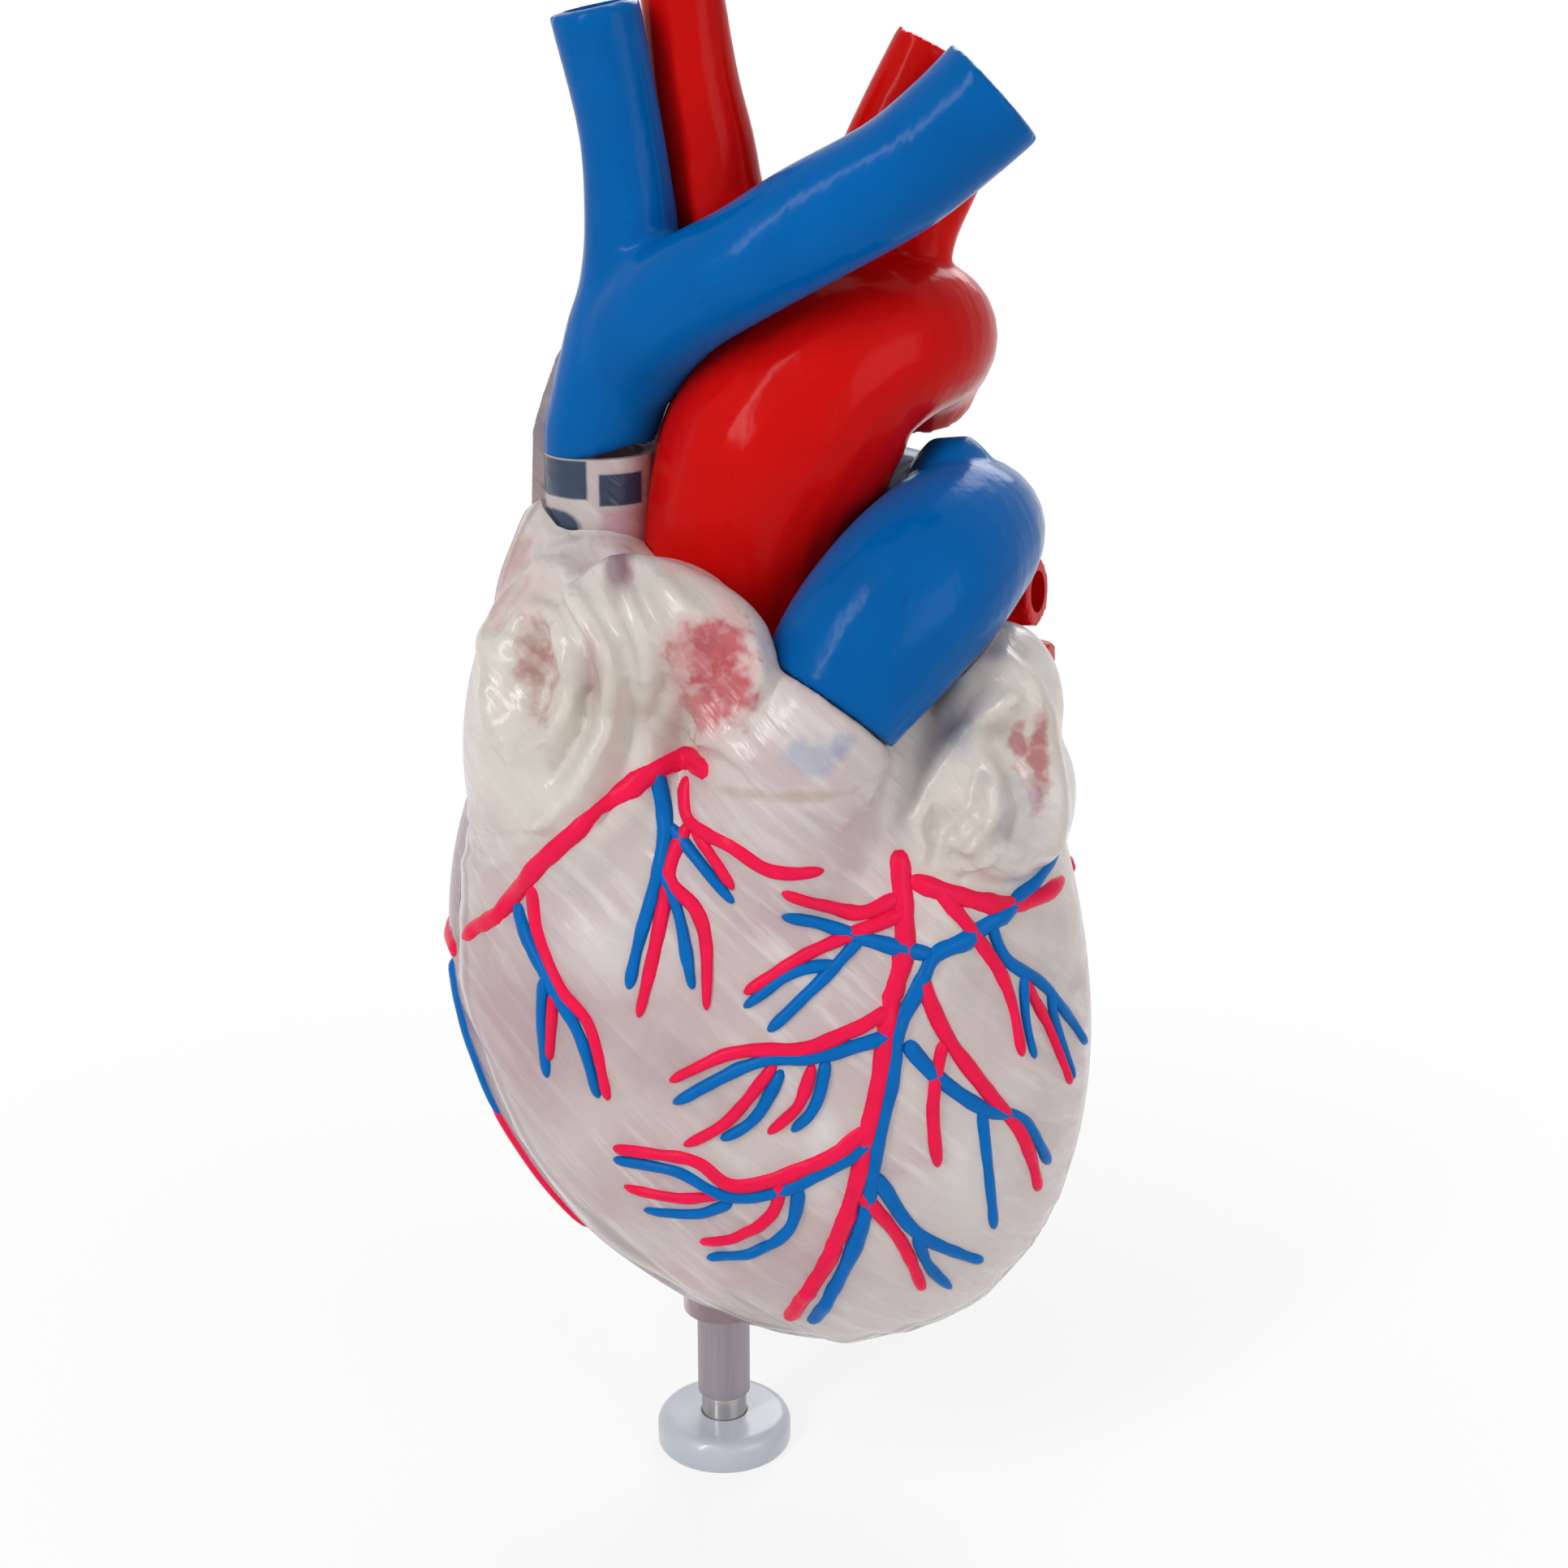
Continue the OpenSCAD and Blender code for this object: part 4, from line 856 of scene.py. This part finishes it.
def room(route, first, last):
    """The space that a vessel needs as the front shell is pulled off it."""
    near = tube("room", route[first : last + 1], grow=0.4, over=0.3, resolution=6, step=4)
    rooms = [near]
    for step in range(1, 9):
        twin = copy_of(near, "room")
        put_places(twin, places(twin) - np.array(PULL) * MM * step * 5)
        rooms.append(twin)
    return fuse(join("room", rooms), 1.2, 2)


def open_shell(form, name, tools):
    """Cuts the tools out of a copy of the form and drops the cut faces, so that the skin is open there."""
    shell = copy_of(form, name)
    shell.data.materials.clear()
    shell.data.materials.append(bpy.data.materials["clear front"])
    marker = bpy.data.materials.get("cut face") or bpy.data.materials.new("cut face")
    for tool in tools:
        tool.data.materials.clear()
        tool.data.materials.append(marker)
        cut(shell, tool)
    index = [i for i, m in enumerate(shell.data.materials) if m == marker]
    select_only(shell)
    for face in shell.data.polygons:
        face.select = face.material_index in index
    bpy.ops.object.mode_set(mode="EDIT")
    bpy.ops.mesh.select_mode(type="FACE")
    bpy.ops.mesh.delete(type="FACE")
    bpy.ops.object.mode_set(mode="OBJECT")
    return shell


def give_wall(obj, wall):
    merge_points(obj, 0.00005)
    finish_with(obj, "SOLIDIFY", thickness=wall * MM, offset=-1, use_even_offset=False, use_rim=True)
    smooth_shade(obj, 40)


def sleeve():
    """The clear neck under the upper cava's end, and the half sleeve that rises behind it."""
    neck = tube("neck", [(NECK_X, NECK_Y, 157.5, NECK_R), NECK[2]], resolution=16)
    bore = [(NECK_X, NECK_Y, 152, NECK_BORE), (NECK_X, NECK_Y, 175, NECK_BORE)]
    cut(neck, tube("tool", bore, resolution=16))
    route = [(NECK_X, NECK_Y, 158.5, NECK_R), *CAVA[:4]]
    half = fuse(tube("sleeve", route, SLEEVE_WALL), 0.5, 2)
    cut(half, tube("tool", route, VESSEL_GAP, BORE_OVER))
    slice_off(half, SEAM_POINT - PULL * SEAM_GAP, PULL, fill=True)
    obj = join("sleeve", [half, neck])
    merge_points(obj)
    return obj


def surface_of(obj):
    return BVHTree.FromObject(obj, bpy.context.evaluated_depsgraph_get())


def raised_lines(name, lines, surface, front):
    """Painted lines that stand out of the shell, laid on it along the viewer's sight or round the body."""
    bars = []
    for (wide, thin), route in lines:
        points = curve_points([(a, b, 0) for a, b in route], 1.0)
        bar = []
        for i, point in enumerate(points):
            if front:
                start, way = Vector((point[0], VIEWER_Y, point[1])), Vector((0, 1, 0))
            else:
                c = (EGG_MID - point[1]) / EGG_HALF
                way = -Vector((math.cos(math.radians(point[0])), math.sin(math.radians(point[0])), 0))
                start = Vector((middle(c, LINE_SHIFT), EGG_TILT * c, point[1])) - OUTSIDE * way
            hit, normal, _, _ = surface.ray_cast(start * MM, way)
            if hit is None or normal.dot(way) > 0:
                continue
            share = i / (len(points) - 1)
            radius = LINE_MORE + LINE_GAIN * (wide + (thin - wide) * share)
            radius *= 1 + LINE_WAVER * noise.noise(hit / MM * 0.3)
            bar.append((hit / MM - normal * (radius - LINE_RISE), radius))
        if len(bar) > 4:
            for end, step in ((0, 1), (-1, -1)):
                for part, share in enumerate(END_TAPER):
                    at = end + step * part
                    bar[at] = (bar[at][0], bar[at][1] * share)
            bars.append(bar)
    obj = sweep(name, bars, 3)
    smooth_shade(obj)
    return obj


# ---- Operators: one for each piece or group of like pieces ----


class HEART_OT_materials(bpy.types.Operator):
    """Makes the finishes that the pieces share"""

    bl_idname = "heart.materials"
    bl_label = "Finishes"

    def execute(self, context):
        s = sizes()
        vessel_paint("vein blue", s.blue)
        vessel_paint("artery red", s.red)
        line_paint("line red", s.line_red)
        line_paint("line blue", s.line_blue)
        clear_plastic("clear front", s.clear, 0.55, FRONT_TINTS, FRONT_BANDS)
        clear_plastic("clear back", darker(s.clear, 0.95), 0.5, BACK_TINTS, BACK_BANDS)
        inside_paint("muscle pink", (0.72, 0.36, 0.33), (0.6, 0.14, 0.13))
        inside_paint("valve cream", (0.82, 0.74, 0.58), (0.7, 0.5, 0.4))
        satin_metal("satin steel", (0.36, 0.32, 0.35), 0.38)
        satin_metal("nickel plate", (0.62, 0.58, 0.55), 0.2)
        # The foot disc is white; this paint is written grey-blue, darker than white, as painted shade over the whole
        # disc
        foot_paint("white foot paint", (0.5, 0.53, 0.6))
        rubber("rubber", (0.03, 0.03, 0.03))
        return {"FINISHED"}


class HEART_OT_arteries(bpy.types.Operator):
    """Aorta with its three branches, one casting"""

    bl_idname = "heart.arteries"
    bl_label = "Aorta and branches"

    def execute(self, context):
        routes = (AORTA, BRACHIOCEPHALIC, CAROTID, SUBCLAVIAN)
        dress(
            vessels("great_arteries", routes, routes), "artery red", "heart", "red",
            "aorta", "brachiocephalic_artery", "left_carotid_artery", "left_subclavian_artery",
        )
        return {"FINISHED"}


class HEART_OT_veins(bpy.types.Operator):
    """Superior vena cava with the left brachiocephalic vein, one casting"""

    bl_idname = "heart.veins"
    bl_label = "Great veins"

    def execute(self, context):
        dress(
            vessels("great_veins", (CAVA, LEFT_VEIN, WEB), (CAVA, LEFT_VEIN), 16), "vein blue", "heart", "blue",
            "superior_vena_cava", "left_brachiocephalic_vein",
        )
        lower = vessels("lower_vena_cava", (LOWER_CAVA,), (LOWER_CAVA,), 4)
        dress(lower, "vein blue", "heart", "blue", "inferior_vena_cava")
        return {"FINISHED"}


class HEART_OT_pulmonary(bpy.types.Operator):
    """Pulmonary trunk with its right branch, and the stubs of the pulmonary veins"""

    bl_idname = "heart.pulmonary"
    bl_label = "Pulmonary vessels"

    def execute(self, context):
        routes = (TRUNK, RIGHT_PULMONARY, LEFT_PULMONARY)
        dress(
            vessels("pulmonary_arteries", routes, routes[:2]), "vein blue", "heart", "blue",
            "pulmonary_trunk", "right_pulmonary_artery",
        )
        for name, node, stubs in (
            ("left_lung_veins", "left_pulmonary_veins", LEFT_STUBS),
            ("right_lung_veins", "right_pulmonary_veins", RIGHT_STUBS),
        ):
            dress(vessels(name, stubs, stubs, 4, 0.6), "artery red", "heart", "red", node)
        return {"FINISHED"}


class HEART_OT_shells(bpy.types.Operator):
    """Clear front and back shells with their raised painted vessels"""

    bl_idname = "heart.shells"
    bl_label = "Clear shells"

    def execute(self, context):
        s = sizes()
        form = heart_form()
        top = ball("top", (NECK_X, NECK_Y, NECK_TOP + 12), (14, 14, 12), 48, 24)
        plain = fuse(copy_of(form, "plain_form"), s.voxel, 0)
        back = open_shell(plain, "clear_back_shell", [
            tube("tool", AORTA, VESSEL_GAP, resolution=6), tube("tool", TRUNK, VESSEL_GAP, over=0.3, resolution=6),
            top, tube("tool", SOCKET, resolution=12),
        ])
        slice_off(back, SEAM_POINT - PULL * SEAM_GAP, PULL)
        front = open_shell(form, "clear_front_shell", [
            room(AORTA, 0, 5), room(TRUNK, 0, 5),
            room([(NECK_X, NECK_Y, z, NECK_R + 0.4) for z in (158, 176)], 0, 1),
        ])
        slice_off(front, SEAM_POINT + PULL * SEAM_GAP, -PULL)
        faces = {"front": surface_of(front), "back": surface_of(back)}
        for name, lines, side, body, node, colour in (
            ("front_red_lines", FRONT_ARTERIES, "front", "front", "front_coronary_arteries", "red"),
            ("front_blue_lines", FRONT_VEINS, "front", "front", "front_cardiac_veins", "blue"),
            ("back_red_lines", BACK_ARTERIES, "back", "heart", "back_coronary_arteries", "red"),
            ("back_blue_lines", BACK_VEINS, "back", "heart", "back_cardiac_veins", "blue"),
        ):
            obj = raised_lines(name, lines, faces[side], side == "front")
            dress(obj, "line " + colour, body, "coronary_" + colour, node)
        give_wall(back, s.wall)
        give_wall(front, s.wall)
        back = join("clear_back_shell", [back, sleeve()])
        smooth_shade(back, 40)
        dress(back, "clear back", "heart", "clear", "back_shell")
        dress(front, "clear front", "front", "clear", "front_shell")
        bpy.data.objects.remove(form)
        bpy.data.objects.remove(plain)
        return {"FINISHED"}


# Parts inside the heart by their paint and slot
INSIDE = {
    ("muscle pink", "flesh"): ("septum", "valve_floor", "papillary_muscles"),
    ("valve cream", "valve_cream"): (
        "tricuspid_valve", "mitral_valve", "aortic_valve", "pulmonary_valve", "chordae_tendineae"
    ),
}


class HEART_OT_inside(bpy.types.Operator):
    """Septum, valve floor, valves, papillary muscles and strings"""

    bl_idname = "heart.inside"
    bl_label = "Inside parts"

    def execute(self, context):
        for (paint, slot), parts in INSIDE.items():
            for node in parts:
                obj = copy_of(frame["nodes"][node], "soft_" + node)
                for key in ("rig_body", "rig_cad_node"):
                    if key in obj:
                        del obj[key]
                obj.parent = None
                merge_points(obj)
                fuse(obj, 0.35 if node == "chordae_tendineae" else 0.6, 3)
                dress(obj, paint, "heart", slot, node)
        return {"FINISHED"}


def lathe(name, profile, segments=96):
    """A turned piece: its profile, radius and height in millimetres, spun about the rod's axis."""
    mesh = bpy.data.meshes.new(name)
    mesh.from_pydata([(r * MM, 0, z * MM) for r, z in profile], [(i, i + 1) for i in range(len(profile) - 1)], [])
    obj = bpy.data.objects.new(name, mesh)
    bpy.context.scene.collection.objects.link(obj)
    select_only(obj)
    bpy.ops.object.mode_set(mode="EDIT")
    bpy.ops.mesh.select_all(action="SELECT")
    bpy.ops.mesh.spin(steps=segments, angle=math.tau, center=(0, 0, 0), axis=(0, 0, 1))
    bpy.ops.object.mode_set(mode="OBJECT")
    merge_points(obj)
    smooth_shade(obj, 35)
    return obj


def arc(cx, cz, r, start, end, steps=8):
    return [
        (cx + r * math.cos(math.radians(a)), cz + r * math.sin(math.radians(a)))
        for a in np.linspace(start, end, steps + 1)
    ]


class HEART_OT_stand(bpy.types.Operator):
    """Foot disc, pin, tube, pad, screw and socket"""

    bl_idname = "heart.stand"
    bl_label = "Foot and rod"

    def execute(self, context):
        disc = lathe("white_foot_disc", [*DISC_TOP, *arc(*DISC_EDGE, 90, 0), *DISC_BELOW])
        # The foot's white paint is darkened to grey-blue as painted shade
        dress(disc, "white foot paint", "stand", "foot_white", "foot_disc")
        dress(lathe("nickel_pin", PIN_PROFILE), "nickel plate", "stand", "nickel", "stand_pin")
        dress(lathe("satin_rod", ROD_PROFILE), "satin steel", "stem", "tube_grey", "stem_tube")
        nodes = frame["nodes"]
        for node, paint in (
            ("foot_pad", "rubber"), ("foot_screw", "nickel plate"), ("stem_socket", "clear back"),
            ("locating_tabs", "clear back"),
        ):
            nodes[node].data.materials.clear()
            nodes[node].data.materials.append(bpy.data.materials[paint])
        return {"FINISHED"}


class HEART_OT_studio(bpy.types.Operator):
    """Floor, world, lamps and camera"""

    bl_idname = "heart.studio"
    bl_label = "Studio"

    def execute(self, context):
        scene = context.scene
        scene.view_settings.view_transform = "Standard"
        camera = bpy.data.objects.new("camera", bpy.data.cameras.new("camera"))
        scene.collection.objects.link(camera)
        camera.location = CAMERA_PLACE
        camera.rotation_euler = (math.radians(90 - CAMERA_DIP), 0, 0)
        camera.data.sensor_width = SENSOR
        camera.data.lens = SENSOR * FOCAL / PHOTO_WIDTH
        camera.data.clip_start = 0.01
        camera.data.clip_end = 100
        scene.camera = camera
        bpy.ops.mesh.primitive_plane_add(size=12, location=(0, 0, 0))
        floor = context.active_object
        floor.name = "floor"
        floor.data.materials.append(floor_paper())
        white_world(scene)
        for name, place, size, power in LAMPS:
            lamp = bpy.data.lights.new(name, "AREA")
            lamp.shape = "RECTANGLE"
            lamp.size, lamp.size_y = size
            lamp.energy = power
            obj = bpy.data.objects.new(name, lamp)
            scene.collection.objects.link(obj)
            obj.location = place
            obj.rotation_euler = (Vector(LAMP_AIM) - Vector(place)).to_track_quat("-Z", "Y").to_euler()
        return {"FINISHED"}


def floor_paper():
    """White paper that shows as white and keeps most of the object's shadow."""
    paper = Finish("floor paper", (0.9, 0.9, 0.9), 0.9)
    white = paper.fade(paper.vector("LENGTH", paper.place, result="Value"), 0.05, 0.25, 0.75, 1)
    share = paper.math("MULTIPLY", paper.seen_directly(), white)
    paper.blend(share, paper.shader, paper.node("ShaderNodeEmission"), "Material Output")
    return paper.material


def white_world(scene):
    """Soft light all round, and plain white where it is seen."""
    scene.world = bpy.data.worlds.new("studio")
    scene.world.use_nodes = True
    world = Nodes(scene.world.node_tree)
    soft, white = world.tree.nodes["Background"], world.node("ShaderNodeBackground")
    for ground, strength in ((soft, 0.4), (white, 1)):
        ground.inputs["Color"].default_value = (1, 1, 1, 1)
        ground.inputs["Strength"].default_value = strength
    world.blend(world.seen_directly(), soft, white, "World Output")


OPERATORS = (
    HEART_OT_studio, HEART_OT_materials, HEART_OT_stand, HEART_OT_arteries, HEART_OT_veins,
    HEART_OT_pulmonary, HEART_OT_inside, HEART_OT_shells,
)


class HEART_PT_panel(bpy.types.Panel):
    """Lists the pieces of the heart model"""

    bl_idname = "HEART_PT_panel"
    bl_label = "Heart model"
    bl_space_type = "VIEW_3D"
    bl_region_type = "UI"
    bl_category = "Heart"

    def draw(self, context):
        settings = context.scene.heart_sizes
        for name in HeartSizes.__annotations__:
            self.layout.prop(settings, name)
        for operator in OPERATORS:
            self.layout.operator(operator.bl_idname)


CLASSES = (HeartSizes, *OPERATORS, HEART_PT_panel)


def register():
    for cls in CLASSES:
        bpy.utils.register_class(cls)
    bpy.types.Scene.heart_sizes = PointerProperty(type=HeartSizes)


def unregister():
    del bpy.types.Scene.heart_sizes
    for cls in reversed(CLASSES):
        bpy.utils.unregister_class(cls)


def main():
    register()
    for operator in OPERATORS:
        group, name = operator.bl_idname.split(".")
        getattr(getattr(bpy.ops, group), name)()


if __name__ == "__main__":
    main()
